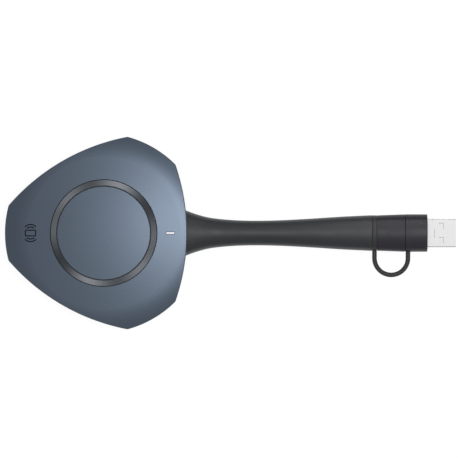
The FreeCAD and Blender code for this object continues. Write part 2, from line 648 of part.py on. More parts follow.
def tail_loft(name, gap):
    """The tail's oval shape from its root to its end, larger by gap all round."""
    body = add("PartDesign::Body", name)
    sections = [oval(body, f"{name}_root", ROOT_X, f"dim.root_half_width + {gap}",
                     f"{ROOT_HALF_HEIGHT} + {gap}")]
    for word in ("flare", "shoulder", "slope", "neck", "waist", "rise", "swell", "crest", "brow"):
        sections.append(oval(body, f"{name}_{word}", f"{ROOT_X} + dim.{word}_run",
                             f"dim.{word}_half_width + {gap}", f"dim.{word}_half_height + {gap}"))
    sections.append(oval(body, f"{name}_end", SLEEVE_END, f"dim.end_half_width + {gap}",
                         f"dim.end_half_height + {gap}"))
    doc.recompute()
    loft = body.newObject("PartDesign::AdditiveLoft", f"{name}_loft")
    loft.Profile = sections[0]
    loft.Sections = sections[1:]
    return body


def tail_passage(name):
    """The oval hole in the wall, which follows the tail's root."""
    body = tail_loft(name, "dim.fit_gap")
    behind = oval(body, f"{name}_behind", f"{ROOT_X} - dim.wall", "dim.root_half_width + dim.fit_gap",
                  f"{ROOT_HALF_HEIGHT} + dim.fit_gap")
    pad(body, behind, "dim.wall")
    return body


def anchor_posts(name, bottom, height):
    """Two posts that hold the sleeve's flange against the wall."""
    return [box(f"{name}_{word}", "dim.anchor_thickness", "dim.anchor_width", height,
                f"{ANCHOR_X} + dim.anchor_thickness / 2", f"{sign}dim.anchor_y", bottom)
            for word, sign in (("left", ""), ("right", "-"))]


def lip_ring(name, inset, thickness, bottom, top):
    """A band round the inside of the wall."""
    outer = puck_prism(f"{name}_outer", inset, bottom, top)
    inner = puck_prism(f"{name}_inner", f"({inset}) + ({thickness})",
                       f"({bottom}) - {BEYOND}", f"({top}) + {BEYOND}")
    return cut(name, outer, inner)


def make_top_shell():
    """The domed cover: walls, the ring's seat, screw bosses and board posts."""
    outline = puck_prism("cover_outline", "0", AXIS, "dim.puck_height")
    block = common("cover_block", [outline, crown("cover_crown")])
    soft_corners = rounded("cover_corners", block, "corner_round", is_upright)
    outside = rounded("cover_outside", soft_corners, "rim_round", is_top_rim)
    room_outline = puck_prism("cover_room_outline", "dim.wall", f"{AXIS} - {BEYOND}", "dim.puck_height")
    room = common("cover_room", [room_outline, crown("cover_ceiling", "dim.roof")])
    hollow = cut("cover_hollow", outside, room)
    well_radius = f"({SEAT_RADIUS} + dim.well_wall)"
    supports = [post("ring_well", well_radius, LEDGE_BOTTOM, under_crown(well_radius, "dim.roof / 2"))]
    for number, (x, y) in enumerate(boss_places()):
        top = under_crown(f"{BOSS_REACH} + dim.boss_radius", "dim.roof / 2")
        supports.append(post(f"cover_boss_{number}", "dim.boss_radius", AXIS, top, x, y))
    for number, (x, y) in enumerate(board_places()):
        top = under_crown("dim.board_screw_reach + dim.board_post_radius", "dim.roof / 2")
        supports.append(post(f"board_post_{number}", "dim.board_post_radius", BOARD_TOP, top, x, y))
    anchor_top = under_crown(f"{ANCHOR_X} + dim.anchor_thickness", "dim.roof / 2")
    supports += anchor_posts("upper_anchor", AXIS, f"{anchor_top} - {AXIS}")
    solid = fuse("cover_solid", [hollow] + supports)
    tools = [
        post("ring_seat", SEAT_RADIUS, LEDGE_TOP, f"dim.puck_height + {BEYOND}"),
        post("button_bore", GUIDE_RADIUS, f"{LEDGE_BOTTOM} - {BEYOND}", f"dim.puck_height + {BEYOND}"),
        box("light_window", "dim.light_length + 2 * dim.running_gap", "dim.light_width + 2 * dim.running_gap",
            "4 * dim.roof", LIGHT_X, "0", "dim.puck_height - 3 * dim.roof"),
        lip_ring("lip_rebate", "dim.wall - dim.lip_thickness - dim.fit_gap",
                 "dim.lip_thickness + 2 * dim.fit_gap", f"{AXIS} - {BEYOND}",
                 f"{AXIS} + dim.lip_height + dim.fit_gap"),
        tail_passage("cover_passage"),
    ]
    for number, (x, y) in enumerate(boss_places()):
        tip = f"{HEAD_SEAT} + dim.closing_screw_length + dim.fit_gap"
        tools.append(post(f"cover_pilot_{number}", PILOT, f"{AXIS} - {BEYOND}", tip, x, y))
    for number, (x, y) in enumerate(board_places()):
        tip = f"{BOARD_BASE} + dim.board_screw_length + dim.fit_gap"
        tools.append(post(f"board_pilot_{number}", PILOT, f"{BOARD_TOP} - {BEYOND}", tip, x, y))
    node(cut("cover", solid, *tools), "top_shell")


def make_bottom_shell():
    """The tray: floor, walls, lip, screw bosses and the pad's recess."""
    block = puck_prism("tray_outline", "0", "dim.underside_height", AXIS)
    soft_corners = rounded("tray_corners", block, "corner_round", is_upright)
    outside = rounded("tray_outside", soft_corners, "base_round",
                      lambda edge: edge.BoundBox.ZMax < doc.dim.underside_height + 0.1)
    room = puck_prism("tray_room", "dim.wall", FLOOR_TOP, f"{AXIS} + {BEYOND}")
    hollow = cut("tray_hollow", outside, room)
    lip = lip_ring("lip", "dim.wall - dim.lip_thickness", "dim.lip_thickness",
                   f"{AXIS} - dim.lip_height", f"{AXIS} + dim.lip_height")
    supports = [lip]
    for number, (x, y) in enumerate(boss_places()):
        supports.append(post(f"tray_boss_{number}", "dim.boss_radius", "dim.underside_height + dim.floor / 2",
                             AXIS, x, y))
    supports += anchor_posts("lower_anchor", "dim.underside_height + dim.floor / 2",
                             f"{AXIS} - dim.underside_height - dim.floor / 2")
    solid = fuse("tray_solid", [hollow] + supports)
    tools = [
        puck_prism("pad_recess", "dim.pad_inset - dim.fit_gap", f"dim.underside_height - {BEYOND}", PAD_TOP),
        tail_passage("tray_passage"),
    ]
    for number, (x, y) in enumerate(boss_places()):
        tools.append(post(f"tray_hole_{number}", "dim.screw_radius + dim.fit_gap",
                          "0", f"{AXIS} + {BEYOND}", x, y))
        tools.append(post(f"tray_head_{number}", "dim.screw_head_radius + dim.fit_gap",
                          "0", HEAD_SEAT, x, y))
    node(cut("tray", solid, *tools), "bottom_shell")


def make_pad():
    """The rubber pad that the dongle stands on."""
    outline = puck_prism("pad_outline", "dim.pad_inset", "0", PAD_TOP)
    doc.recompute()
    size = doc.dim.pad_chamfer
    pad_solid = add("Part::Chamfer", "pad")
    pad_solid.Base = outline
    pad_solid.Edges = [(number, size, size) for number, edge in enumerate(outline.Shape.Edges, 1)
                       if edge.BoundBox.ZMax < 0.1]
    node(pad_solid, "anti_slip_pad")


# The button, its ring and its switch


def make_button():
    """The cap: a domed plate, a skirt, three hooks, two ribs and a post."""
    disc = common("cap_disc", [post("cap_blank", "dim.button_radius", CAP_UNDERSIDE, "dim.puck_height"),
                               crown("cap_crown")])
    doc.recompute()
    size = doc.dim.button_chamfer
    edge_cut = add("Part::Chamfer", "cap_edge")
    edge_cut.Base = disc
    edge_cut.Edges = [(number, size, size) for number, edge in enumerate(disc.Shape.Edges, 1)
                      if edge.BoundBox.ZMin > doc.dim.puck_height - doc.dim.button_plate + size
                      and edge.BoundBox.XLength > doc.dim.button_radius]
    skirt_inner = "(dim.button_radius - dim.skirt_thickness)"
    hook_top = f"({LEDGE_BOTTOM} - dim.fit_gap)"
    hook_bottom = f"({hook_top} - dim.hook_height)"
    skirt = cut("skirt", post("skirt_outer", "dim.button_radius", hook_bottom, f"{CAP_UNDERSIDE} + {WELD}"),
                post("skirt_inner", skirt_inner, f"{hook_bottom} - {BEYOND}", f"{CAP_UNDERSIDE} + {BEYOND}"))
    hook_ring = cut("hook_ring", post("hook_outer", f"{GUIDE_RADIUS} + dim.hook_grip", hook_bottom, hook_top),
                    post("hook_inner", skirt_inner, f"{hook_bottom} - {BEYOND}", f"{hook_top} + {BEYOND}"))
    sectors = []
    for third in THIRDS:
        sector = bind(add("Part::Box", f"hook_sector_{third}"), Length="2 * dim.button_radius",
                      Width="dim.hook_width", Height=f"{hook_top} - {hook_bottom}")
        sector.Placement.Rotation = FreeCAD.Rotation(FreeCAD.Vector(0, 0, 1), third + 60)
        place(sector, f"dim.hook_width / 2 * sin({third + 60} * 1 deg)",
              f"-dim.hook_width / 2 * cos({third + 60} * 1 deg)", hook_bottom)
        sectors.append(sector)
    hooks = common("hooks", [hook_ring, fuse("hook_sectors", sectors)])
    # Between the hooks the skirt ends at the ledge's underside.
    below = post("skirt_trim_outer", f"dim.button_radius + {BEYOND}", f"{hook_bottom} - {BEYOND}", hook_top)
    trim = cut("skirt_trim", below, fuse("skirt_kept", sectors))
    short_skirt = cut("short_skirt", skirt, trim)
    rib_bottom = f"({CAP_UNDERSIDE} - dim.rib_height)"
    ribs = [box(f"rib_{word}", length, width, f"dim.rib_height + {WELD}", "0", "0", rib_bottom)
            for word, length, width in (("along", f"2 * ({skirt_inner} + {WELD})", "dim.rib_thickness"),
                                        ("across", "dim.rib_thickness", f"2 * ({skirt_inner} + {WELD})"))]
    centre_post = post("press_post", "dim.post_radius", PLUNGER_TOP, f"{CAP_UNDERSIDE} + {WELD}")
    node(fuse("cap", [edge_cut, short_skirt, hooks, centre_post] + ribs), "button_cap")


def make_ring():
    """The spun metal ring round the button, with a face that falls inwards."""
    body = add("PartDesign::Body", "ring")
    sketch = body.newObject("Sketcher::SketchObject", "ring_profile")
    sketch.AttachmentSupport = [(origin_plane(body, "XZ_Plane"), "")]
    sketch.MapMode = "FlatFace"
    # The lines start near their size, and the constraints then set it.
    near, far, low, high = 20, 22, 12, 13
    points = [FreeCAD.Vector(x, y, 0) for x, y in ((near, low), (far, low), (far, high), (near, high))]
    inside_bottom, outside, face, inside = [
        sketch.addGeometry(Part.LineSegment(points[i], points[(i + 1) % 4]), False) for i in range(4)]
    lines = (inside_bottom, outside, face, inside)
    for index in range(4):
        sketch.addConstraint(Sketcher.Constraint("Coincident", lines[index], 2, lines[(index + 1) % 4], 1))
    sketch.addConstraint(Sketcher.Constraint("Horizontal", inside_bottom))
    sketch.addConstraint(Sketcher.Constraint("Vertical", outside))
    sketch.addConstraint(Sketcher.Constraint("Vertical", inside))
    tie(sketch, Sketcher.Constraint("DistanceX", -1, 1, inside_bottom, 1, near), RING_INNER)
    tie(sketch, Sketcher.Constraint("DistanceX", -1, 1, inside_bottom, 2, far), RING_OUTER)
    tie(sketch, Sketcher.Constraint("DistanceY", -1, 1, inside_bottom, 1, low), LEDGE_TOP)
    tie(sketch, Sketcher.Constraint("DistanceY", -1, 1, outside, 2, high), RING_TOP)
    tie(sketch, Sketcher.Constraint("DistanceY", -1, 1, inside, 1, high), f"{RING_TOP} - dim.ring_slope")
    turned = body.newObject("PartDesign::Revolution", "ring_turned")
    turned.Profile = sketch
    turned.ReferenceAxis = (sketch, ["V_Axis"])
    turned.Angle = 360
    node(body, "ring_bezel")


def make_switch():
    """The push switch on the board and the plunger that moves in it."""
    body = box("switch_block", "dim.switch_size", "dim.switch_size", "dim.switch_height", "0", "0", BOARD_TOP)
    foot = f"({SWITCH_TOP} - dim.plunger_foot)"
    bore = post("switch_bore", "dim.plunger_radius + dim.running_gap", f"{foot} - dim.button_travel",
                f"{SWITCH_TOP} + {BEYOND}")
    node(cut("switch", body, bore), "switch_body")
    node(post("plunger", "dim.plunger_radius", foot, PLUNGER_TOP), "switch_plunger")


# The circuit board and what it carries


def make_board():
    """The main board, cut out for the closing bosses, the screws and the tail."""
    blank = puck_prism("board_outline", "dim.wall + dim.board_gap", BOARD_BASE, BOARD_TOP)
    low, high = f"{BOARD_BASE} - {BEYOND}", f"{BOARD_TOP} + {BEYOND}"
    tools = []
    for number, (x, y) in enumerate(boss_places()):
        tools.append(post(f"board_cut_{number}", "dim.boss_radius + 3 * dim.fit_gap", low, high, x, y))
    for number, (x, y) in enumerate(board_places()):
        tools.append(post(f"board_hole_{number}", "dim.screw_radius + dim.fit_gap", low, high, x, y))
    half_notch = "(dim.flange_half_width + dim.board_gap)"
    notch = bind(add("Part::Box", "board_notch"), Length="dim.side_reach",
                 Width=f"2 * {half_notch}", Height=f"{high} - ({low})")
    place(notch, f"{ANCHOR_X} - 2 * dim.fit_gap", f"-{half_notch}", low)
    tools.append(notch)
    node(cut("board", blank, *tools), "main_board")


def hanging(height):
    """Base of a part that hangs under the board."""
    return f"{BOARD_BASE} - ({height})"


def make_chips():
    """The video processor under the board, the memory and the radio on it."""
    size = "dim.video_chip_size"
    node(box("video", size, size, "dim.video_chip_height", "dim.video_chip_x", "0",
             hanging("dim.video_chip_height")), "video_processor")
    chips = [box(f"memory_{word}", "dim.memory_width", "dim.memory_length", "dim.memory_height",
                 f"{sign}dim.memory_reach", "0", BOARD_TOP) for word, sign in (("front", ""), ("rear", "-"))]
    node(group("memory", chips), "memory_chips")
    size = "dim.radio_chip_size"
    node(box("radio", size, size, "dim.radio_chip_height", "dim.radio_x", "dim.radio_y", BOARD_TOP),
         "radio_chip")


def make_cans():
    """The two shield cans and the heat pad between the processor and its can."""
    sheet = "dim.can_sheet"
    size, height = "dim.processor_can_size", "dim.processor_can_height"
    shell = box("processor_can_outer", size, size, height, "dim.video_chip_x", "0", hanging(height))
    room = box("processor_can_inner", f"{size} - 2 * {sheet}", f"{size} - 2 * {sheet}", height,
               "dim.video_chip_x", "0", f"{hanging(height)} + {sheet}")
    node(cut("processor_can", shell, room), "processor_shield")
    pad_height = f"({height} - {sheet} - dim.video_chip_height)"
    size = "(dim.video_chip_size - 2 * dim.heat_pad_margin)"
    node(box("heat_pad", size, size, pad_height, "dim.video_chip_x", "0", f"{hanging(height)} + {sheet}"),
         "thermal_pad")
    length, width, height = "dim.radio_can_length", "dim.radio_can_width", "dim.radio_can_height"
    shell = box("radio_can_outer", length, width, height, "dim.radio_x", "dim.radio_y", BOARD_TOP)
    room = box("radio_can_inner", f"{length} - 2 * {sheet}", f"{width} - 2 * {sheet}", height,
               "dim.radio_x", "dim.radio_y", f"{BOARD_TOP} - {sheet}")
    node(cut("radio_can", shell, room), "radio_shield")


def make_antennas():
    """Two bent sheet antennas that stand on the board's long edges."""
    for word, turn in (("left", 120), ("right", 240)):
        blank = bind(add("Part::Box", f"antenna_{word}_blank"), Length="dim.antenna_sheet",
                     Width="dim.antenna_length", Height="dim.antenna_height")
        gap = bind(add("Part::Box", f"antenna_{word}_gap"), Length="3 * dim.antenna_sheet",
                   Width="dim.antenna_length - 2 * dim.antenna_foot", Height="dim.antenna_height / 2")
        for item, outwards, along, height in (
            (blank, "0", "dim.antenna_length / 2", BOARD_TOP),
            (gap, "-dim.antenna_sheet", "dim.antenna_length / 2 - dim.antenna_foot", BOARD_TOP),
        ):
            item.Placement.Rotation = FreeCAD.Rotation(FreeCAD.Vector(0, 0, 1), turn)
            reach = f"({ANTENNA_REACH} + {outwards})"
            place(item, f"{reach} * cos({turn} deg) + ({along}) * sin({turn} deg)",
                  f"{reach} * sin({turn} deg) - ({along}) * cos({turn} deg)", height)
        node(cut(f"antenna_{word}_bent", blank, gap), f"antenna_{word}")


def make_pairing_coil():
    """The flat coil under the printed symbol, on its magnetic sheet."""
    width, length, band = "dim.coil_width", "dim.coil_length", "dim.coil_band"
    node(box("ferrite", width, length, "dim.ferrite_height", COIL_X, "0", BOARD_TOP), "coil_ferrite")
    base = f"({BOARD_TOP} + dim.ferrite_height)"
    outer = box("coil_outer", width, length, "dim.coil_height", COIL_X, "0", base)
    inner = box("coil_inner", f"{width} - 2 * {band}", f"{length} - 2 * {band}", "3 * dim.coil_height",
                COIL_X, "0", f"{base} - dim.coil_height")
    node(cut("coil", outer, inner), "pairing_coil")


def make_status_light():
    """The lamp on the board and the clear pipe that leads its light out."""
    node(box("lamp", "dim.lamp_length", "dim.lamp_width", "dim.lamp_height", LIGHT_X, "0", BOARD_TOP),
         "status_lamp")
    foot = f"({LAMP_TOP} + dim.light_air)"
    stem = common("pipe_stem", [
        box("pipe_blank", "dim.light_length", "dim.light_width", f"dim.puck_height - {foot}",
            LIGHT_X, "0", foot),
        crown("pipe_crown")])
    flange = box("pipe_flange", "dim.light_length + 2 * dim.light_flange",
                 "dim.light_width + 2 * dim.light_flange", "dim.light_flange_height", LIGHT_X, "0",
                 f"{LEDGE_BOTTOM} - dim.light_flange_height - dim.fit_gap")
    node(fuse("pipe", [stem, flange]), "light_pipe")


# Screws


def screw(name, x, y, seat, length):
    """A pan-head screw with a cross recess, driven upwards from a seat."""
    head = post(f"{name}_head", "dim.screw_head_radius", f"({seat}) - dim.screw_head_height", seat, x, y)
    shank = post(f"{name}_shank", "dim.screw_radius", seat, f"({seat}) + ({length})", x, y)
    base = f"({seat}) - dim.screw_head_height - {WELD}"
    slots = [box(f"{name}_slot_{word}", long_side, wide_side, f"dim.socket_depth + {WELD}", x, y, base)
             for word, long_side, wide_side in (("x", "dim.socket_span", "dim.socket_width"),
                                                ("y", "dim.socket_width", "dim.socket_span"))]
    return cut(name, fuse(f"{name}_solid", [head, shank]), *slots)


def make_screws():
    """The screws that close the puck and those that hold the board."""
    closing = [screw(f"closing_{number}", x, y, HEAD_SEAT, "dim.closing_screw_length")
               for number, (x, y) in enumerate(boss_places())]
    node(group("closing_group", closing), "closing_screws")
    holding = [screw(f"holding_{number}", x, y, BOARD_BASE, "dim.board_screw_length")
               for number, (x, y) in enumerate(board_places())]
    node(group("holding_group", holding), "board_screws")


# The cable and its sleeve


def wires(name, start, end):
    """Two rows of four straight wires between two stations."""
    rods = []
    for row, lift in (("upper", "dim.wire_lift"), ("lower", "-dim.wire_lift")):
        for column in range(4):
            rods.append(rod(f"{name}_{row}_{column}", "dim.wire_radius", start, end,
                            f"{column - 1.5} * dim.wire_pitch", f"{AXIS} + {lift}"))
    return group(name, rods)


def make_cable():
    """The cable in the tail, its wires, and the socket and plug on the board."""
    node(rod("cable", "dim.cable_radius", CABLE_START, CABLE_END), "usb_cable")
    header_end = "(dim.header_x + dim.header_length)"
    middle = "dim.header_x + dim.header_length / 2"
    shell = box("header_outer", "dim.header_length", "dim.header_width", "dim.header_depth", middle, "0",
                hanging("dim.header_depth"))
    room = box("header_inner", "dim.header_length", "dim.header_width - 2 * dim.header_wall",
               "dim.header_depth - 2 * dim.header_wall", f"{middle} + dim.header_wall", "0",
               f"{hanging('dim.header_depth')} + dim.header_wall")
    node(cut("header", shell, room), "board_socket")
    plug_start = "(dim.header_x + dim.header_wall + dim.fit_gap)"
    plug_end = f"({plug_start} + dim.wire_plug_length)"
    node(box("wire_plug_block", "dim.wire_plug_length",
             "dim.header_width - 2 * dim.header_wall - 2 * dim.fit_gap",
             "dim.header_depth - 2 * dim.header_wall - 2 * dim.fit_gap",
             f"{plug_start} + dim.wire_plug_length / 2", "0",
             f"{hanging('dim.header_depth')} + dim.header_wall + dim.fit_gap"), "wire_plug")
    node(wires("puck_wire_rods", plug_end, CABLE_START), "puck_wires")
    card_start = f"({CARD_FRONT} - dim.card_length)"
    node(wires("grip_wire_rods", CABLE_END, f"{card_start} + dim.wire_landing"), "grip_wires")


def make_sleeve():
    """The rubber sleeve: a flange in the puck and an oval tail with a waist."""
    body = tail_loft("sleeve", "0")
    throat = oval(body, "sleeve_throat", f"{ROOT_X} - dim.wall", "dim.throat_half_width",
                  f"{ROOT_HALF_HEIGHT} - dim.throat_step")
    pad(body, throat, "dim.wall")
    doc.recompute()
    bottom = f"({FLOOR_TOP} + dim.flange_gap)"
    top = under_crown(f"{FLANGE_X} + dim.flange_thickness", "dim.roof + dim.flange_air")
    plate = box("sleeve_plate", "dim.flange_thickness", "2 * dim.flange_half_width", f"{top} - {bottom}",
                f"{FLANGE_X} + dim.flange_thickness / 2", "0", bottom)
    flange = rounded("sleeve_flange", plate, "base_round", lambda edge: edge.BoundBox.XLength > 1)
    bore = rod("sleeve_bore", CABLE_BORE, f"{FLANGE_X} - {BEYOND}", f"{SLEEVE_END} + {BEYOND}")
    node(cut("bored_sleeve", fuse("sleeve_solid", [body, flange]), bore), "tail_sleeve")


# The grip and the small plug


def make_grip():
    """The grip of the small plug, necked down under the tether's band."""
    body = add("PartDesign::Body", "grip")
    rear = oval(body, "grip_rear", GRIP_START, "dim.end_half_width", "dim.end_half_height")
    front = oval(body, "grip_front", GRIP_END, "dim.grip_half_width", "dim.grip_half_height")
    doc.recompute()
    main = body.newObject("PartDesign::AdditiveLoft", "grip_main")
    main.Profile = rear
    main.Sections = [front]
    neck = oval(body, "grip_neck", BAND_START, "dim.end_half_width - dim.band_thickness",
                "dim.end_half_height - dim.band_thickness")
    pad(body, neck, f"{GRIP_START} - {BAND_START}")
    step = oval(body, "grip_step", GRIP_END, "dim.grip_half_width - dim.grip_step_inset",
                "dim.grip_half_height - dim.grip_step_inset")
    pad(body, step, "dim.grip_step")
    doc.recompute()
    room = block_from("grip_room", ROOM_START,
                      f"{GRIP_END} - dim.grip_nose - {ROOM_START}",
                      "dim.plug_width + 2 * dim.grip_room_side", "dim.grip_room_height", "0")
    bore = rod("grip_bore", CABLE_BORE, f"{BAND_START} - {BEYOND}", f"{ROOM_START} + {WELD}")
    mouth_body = add("PartDesign::Body", "grip_mouth")
    mouth = stadium(mouth_body, "grip_mouth_outline", f"{GRIP_END} - 2 * dim.grip_nose",
                    "dim.plug_width + 2 * dim.running_gap", "dim.plug_height + 2 * dim.running_gap")
    pad(mouth_body, mouth, "3 * dim.grip_nose")
    node(cut("hollow_grip", body, room, bore, mouth_body), "plug_grip")


def make_small_plug():
    """The small plug: its shell, insert, contacts and circuit card."""
    body = add("PartDesign::Body", "plug_tube")
    outside = stadium(body, "plug_outside", PLUG_BACK, "dim.plug_width", "dim.plug_height")
    pad(body, outside, "dim.plug_root + dim.plug_reach")
    inside = stadium(body, "plug_inside", PLUG_BACK, "dim.plug_width - 2 * dim.plug_sheet",
                     "dim.plug_height - 2 * dim.plug_sheet")
    pocket(body, inside, f"dim.plug_root + dim.plug_reach + {BEYOND}")
    node(body, "plug_shell")
    body = add("PartDesign::Body", "plug_core")
    core = stadium(body, "plug_core_outline", CARD_FRONT,
                   "dim.plug_width - 2 * dim.plug_sheet - dim.running_gap",
                   "dim.plug_height - 2 * dim.plug_sheet - dim.running_gap")
    pad(body, core, f"{INSERT_TIP} - {CARD_FRONT}")
    slot = rectangle(body, "plug_slot", f"{INSERT_TIP} - dim.plug_slot_depth", SLOT_WIDTH,
                     "dim.plug_slot_height")
    pocket(body, slot, f"dim.plug_slot_depth + {BEYOND}")
    node(body, "plug_insert")
    contacts = []
    for row, sign in (("upper", "+"), ("lower", "-")):
        for column in range(12):
            offset = f"{sign} (dim.plug_slot_height - dim.contact_height) / 2"
            contacts.append(block_from(f"contact_{row}_{column}", f"{INSERT_TIP} - dim.plug_slot_depth",
                                       "dim.contact_length", "dim.contact_width", "dim.contact_height",
                                       f"{column - 5.5} * dim.contact_pitch", f"{AXIS} {offset}"))
    node(group("contacts", contacts), "plug_contacts")
    node(block_from("card", f"{CARD_FRONT} - dim.card_length", "dim.card_length", CARD_WIDTH,
                    "dim.card_thickness", "0"), "plug_card")


# The adapter


def make_adapter_housing():
    """The oval housing of the adapter, with room for both connectors."""
    body = add("PartDesign::Body", "adapter")
    outline = oval(body, "adapter_outline", ADAPTER_START,
                   "dim.adapter_half_width", "dim.adapter_half_height")
    block = pad(body, outline, "dim.adapter_length")
    doc.recompute()
    soft = body.newObject("PartDesign::Fillet", "adapter_soft")
    front = block.Shape.BoundBox.XMax
    soft.Base = (block, [f"Edge{number}" for number, edge in enumerate(block.Shape.Edges, 1)
                         if edge.BoundBox.XMin > front - 0.1])
    bind(soft, Radius="dim.adapter_edge")
    doc.recompute()
    entry_body = add("PartDesign::Body", "adapter_entry")
    entry = stadium(entry_body, "adapter_entry_outline", f"{ADAPTER_START} - {BEYOND}",
                    f"{SOCKET_WIDTH} + 2 * dim.socket_sheet + 2 * dim.running_gap",
                    f"{SOCKET_HEIGHT} + 2 * dim.socket_sheet + 2 * dim.running_gap")
    pad(entry_body, entry, f"dim.adapter_rear_wall + 2 * {BEYOND}")
    room = block_from("adapter_room", POCKET_START, "dim.adapter_length",
                      "dim.usb_width + 2 * dim.running_gap",
                      "dim.usb_height + 2 * dim.running_gap", "0")
    foot = cross_rod("tether_hole", "dim.tether_radius + dim.running_gap", TETHER_FAR,
                     "dim.tether_foot - dim.adapter_half_width", f"-dim.adapter_half_width - {BEYOND}")
    node(cut("hollow_adapter", body, entry_body, room, foot), "adapter_housing")


def make_socket():
    """The socket that the small plug goes into: its shell and its tongue."""
    body = add("PartDesign::Body", "socket_tube")
    outside = stadium(body, "socket_outside", SOCKET_START, f"{SOCKET_WIDTH} + 2 * dim.socket_sheet",
                      f"{SOCKET_HEIGHT} + 2 * dim.socket_sheet")
    pad(body, outside, "dim.socket_length")
    inside = stadium(body, "socket_inside", SOCKET_START, SOCKET_WIDTH, SOCKET_HEIGHT)
    pocket(body, inside, f"dim.socket_length + {BEYOND}")
    node(body, "socket_shell")
    body = add("PartDesign::Body", "socket_core")
    tongue_start = f"({SOCKET_END} - dim.tongue_base - dim.tongue_length)"
    tongue = rectangle(body, "socket_tongue_outline", tongue_start,
                       f"{SLOT_WIDTH} - 2 * dim.tongue_side", "dim.tongue_thickness")
    pad(body, tongue, "dim.tongue_length + dim.tongue_base")
    base = stadium(body, "socket_base", f"{SOCKET_END} - dim.tongue_base",
                   f"{SOCKET_WIDTH} - dim.running_gap", f"{SOCKET_HEIGHT} - dim.running_gap")
    pad(body, base, "dim.tongue_base")
    node(body, "socket_tongue")


def make_large_plug():
    """The large plug: its shell with latch windows, insert, blades and board."""
    body = add("PartDesign::Body", "usb_tube")
    outline = rectangle(body, "usb_outline", POCKET_START, "dim.usb_width", "dim.usb_height")
    tube = pad(body, outline, f"{USB_TIP} - {POCKET_START}")
    doc.recompute()
    soft = body.newObject("PartDesign::Fillet", "usb_soft")
    soft.Base = (tube, [f"Edge{number}" for number, edge in enumerate(tube.Shape.Edges, 1)
                        if edge.BoundBox.XLength > 1])
    bind(soft, Radius="dim.usb_round")
    room = rectangle(body, "usb_room", POCKET_START, USB_ROOM_WIDTH, USB_ROOM_HEIGHT)
    pocket(body, room, f"{USB_TIP} - {POCKET_START} + {BEYOND}")
    windows = [box(f"latch_window_{word}", "dim.latch_length", "dim.latch_width", "2 * dim.usb_height",
                   f"{USB_TIP} - dim.latch_setback - dim.latch_length / 2", f"{sign}dim.latch_spread",
                   f"{AXIS} - dim.usb_height") for word, sign in (("left", ""), ("right", "-"))]
    node(cut("usb_shell_cut", body, *windows), "usb_shell")
    insert_end = f"({USB_TIP} - dim.insert_sunk)"
    insert_start = f"({insert_end} - dim.insert_length)"
    node(block_from("insert", insert_start, "dim.insert_length", f"{USB_ROOM_WIDTH} - 2 * dim.running_gap",
                    "dim.insert_thickness", "0", f"{INSERT_BOTTOM} + dim.insert_thickness / 2"), "usb_insert")
    blades = []
    places = [f"{sign}dim.blade_{word}" for word in ("inner", "outer") for sign in ("", "-")]
    for number, offset in enumerate(places):
        blades.append(block_from(f"blade_{number}", insert_start, "dim.blade_length", "dim.blade_width",
                                 "dim.blade_height", offset, f"{INSERT_BOTTOM} - dim.blade_height / 2"))
    node(group("blades", blades), "usb_contacts")
    node(block_from("bridge", f"{SOCKET_END} + dim.fit_gap", "dim.bridge_length", "dim.bridge_width",
                    "dim.bridge_thickness", "0",
                    f"{INSERT_BOTTOM} - dim.blade_height - dim.bridge_thickness / 2"), "adapter_board")


def make_tether():
    """The moulded tether: a band round the grip's neck and a half-round loop."""
    body = add("PartDesign::Body", "band")
    outside = oval(body, "band_outside", BAND_START, "dim.end_half_width", "dim.end_half_height")
    pad(body, outside, "dim.band_width")
    hole_body = add("PartDesign::Body", "band_hole")
    hole = oval(hole_body, "band_hole_outline", f"{BAND_START} - {BEYOND}",
                "dim.end_half_width - dim.band_thickness + dim.running_gap",
                "dim.end_half_height - dim.band_thickness + dim.running_gap")
    pad(hole_body, hole, f"dim.band_width + 2 * {BEYOND}")
    near_leg = cross_rod("near_leg", "dim.tether_radius", TETHER_NEAR,
                         "dim.band_thickness / 2 - dim.end_half_width", "-dim.tether_straight")
    far_leg = cross_rod("far_leg", "dim.tether_radius", TETHER_FAR,
                        "dim.tether_foot - dim.fit_gap - dim.adapter_half_width", "-dim.tether_straight")
    bend = bind(add("Part::Torus", "tether_bend"), Radius1=f"({TETHER_FAR} - {TETHER_NEAR}) / 2",
                Radius2="dim.tether_radius")
    bend.Angle3 = 180
    bend.Placement.Rotation = FreeCAD.Rotation(FreeCAD.Vector(0, 0, 1), 180)
    place(bend, f"({TETHER_FAR} + {TETHER_NEAR}) / 2", "-dim.tether_straight", AXIS)
    solid = fuse("tether_solid", [body, near_leg, bend, far_leg])
    node(cut("tether", solid, hole_body), "tether_strap")


def check_and_write():
    """Stop at any failed object, then write one file for each sub-part."""
    doc.recompute()
    for item in doc.Objects:
        if "Invalid" in item.State or "Error" in item.State:
            raise RuntimeError(f"{item.Name} failed: {item.State}")
    os.makedirs("parts", exist_ok=True)
    for item in nodes:
        if item.Shape.isNull() or not item.Shape.isValid():
            raise RuntimeError(f"{item.Label} has no valid shape")
    for item in nodes:
        item.Shape.exportStep(os.path.join("parts", f"{item.Label}.step"))
        bounds = item.Shape.optimalBoundingBox()
        print(f"{item.Label}: {len(item.Shape.Solids)} solid(s), {item.Shape.Volume:.1f} mm3, "
              f"x {bounds.XMin:.2f} to {bounds.XMax:.2f}, y {bounds.YMin:.2f} to {bounds.YMax:.2f}, "
              f"z {bounds.ZMin:.2f} to {bounds.ZMax:.2f}")


write_sheet()
make_top_shell()
make_bottom_shell()
make_pad()
make_button()
make_ring()
make_switch()
make_board()
make_chips()
make_cans()
make_antennas()
make_pairing_coil()
make_status_light()
make_screws()
make_cable()
make_sleeve()
make_grip()
make_small_plug()
make_adapter_housing()
make_socket()
make_large_plug()
make_tether()
check_and_write()
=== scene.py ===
import json
import math

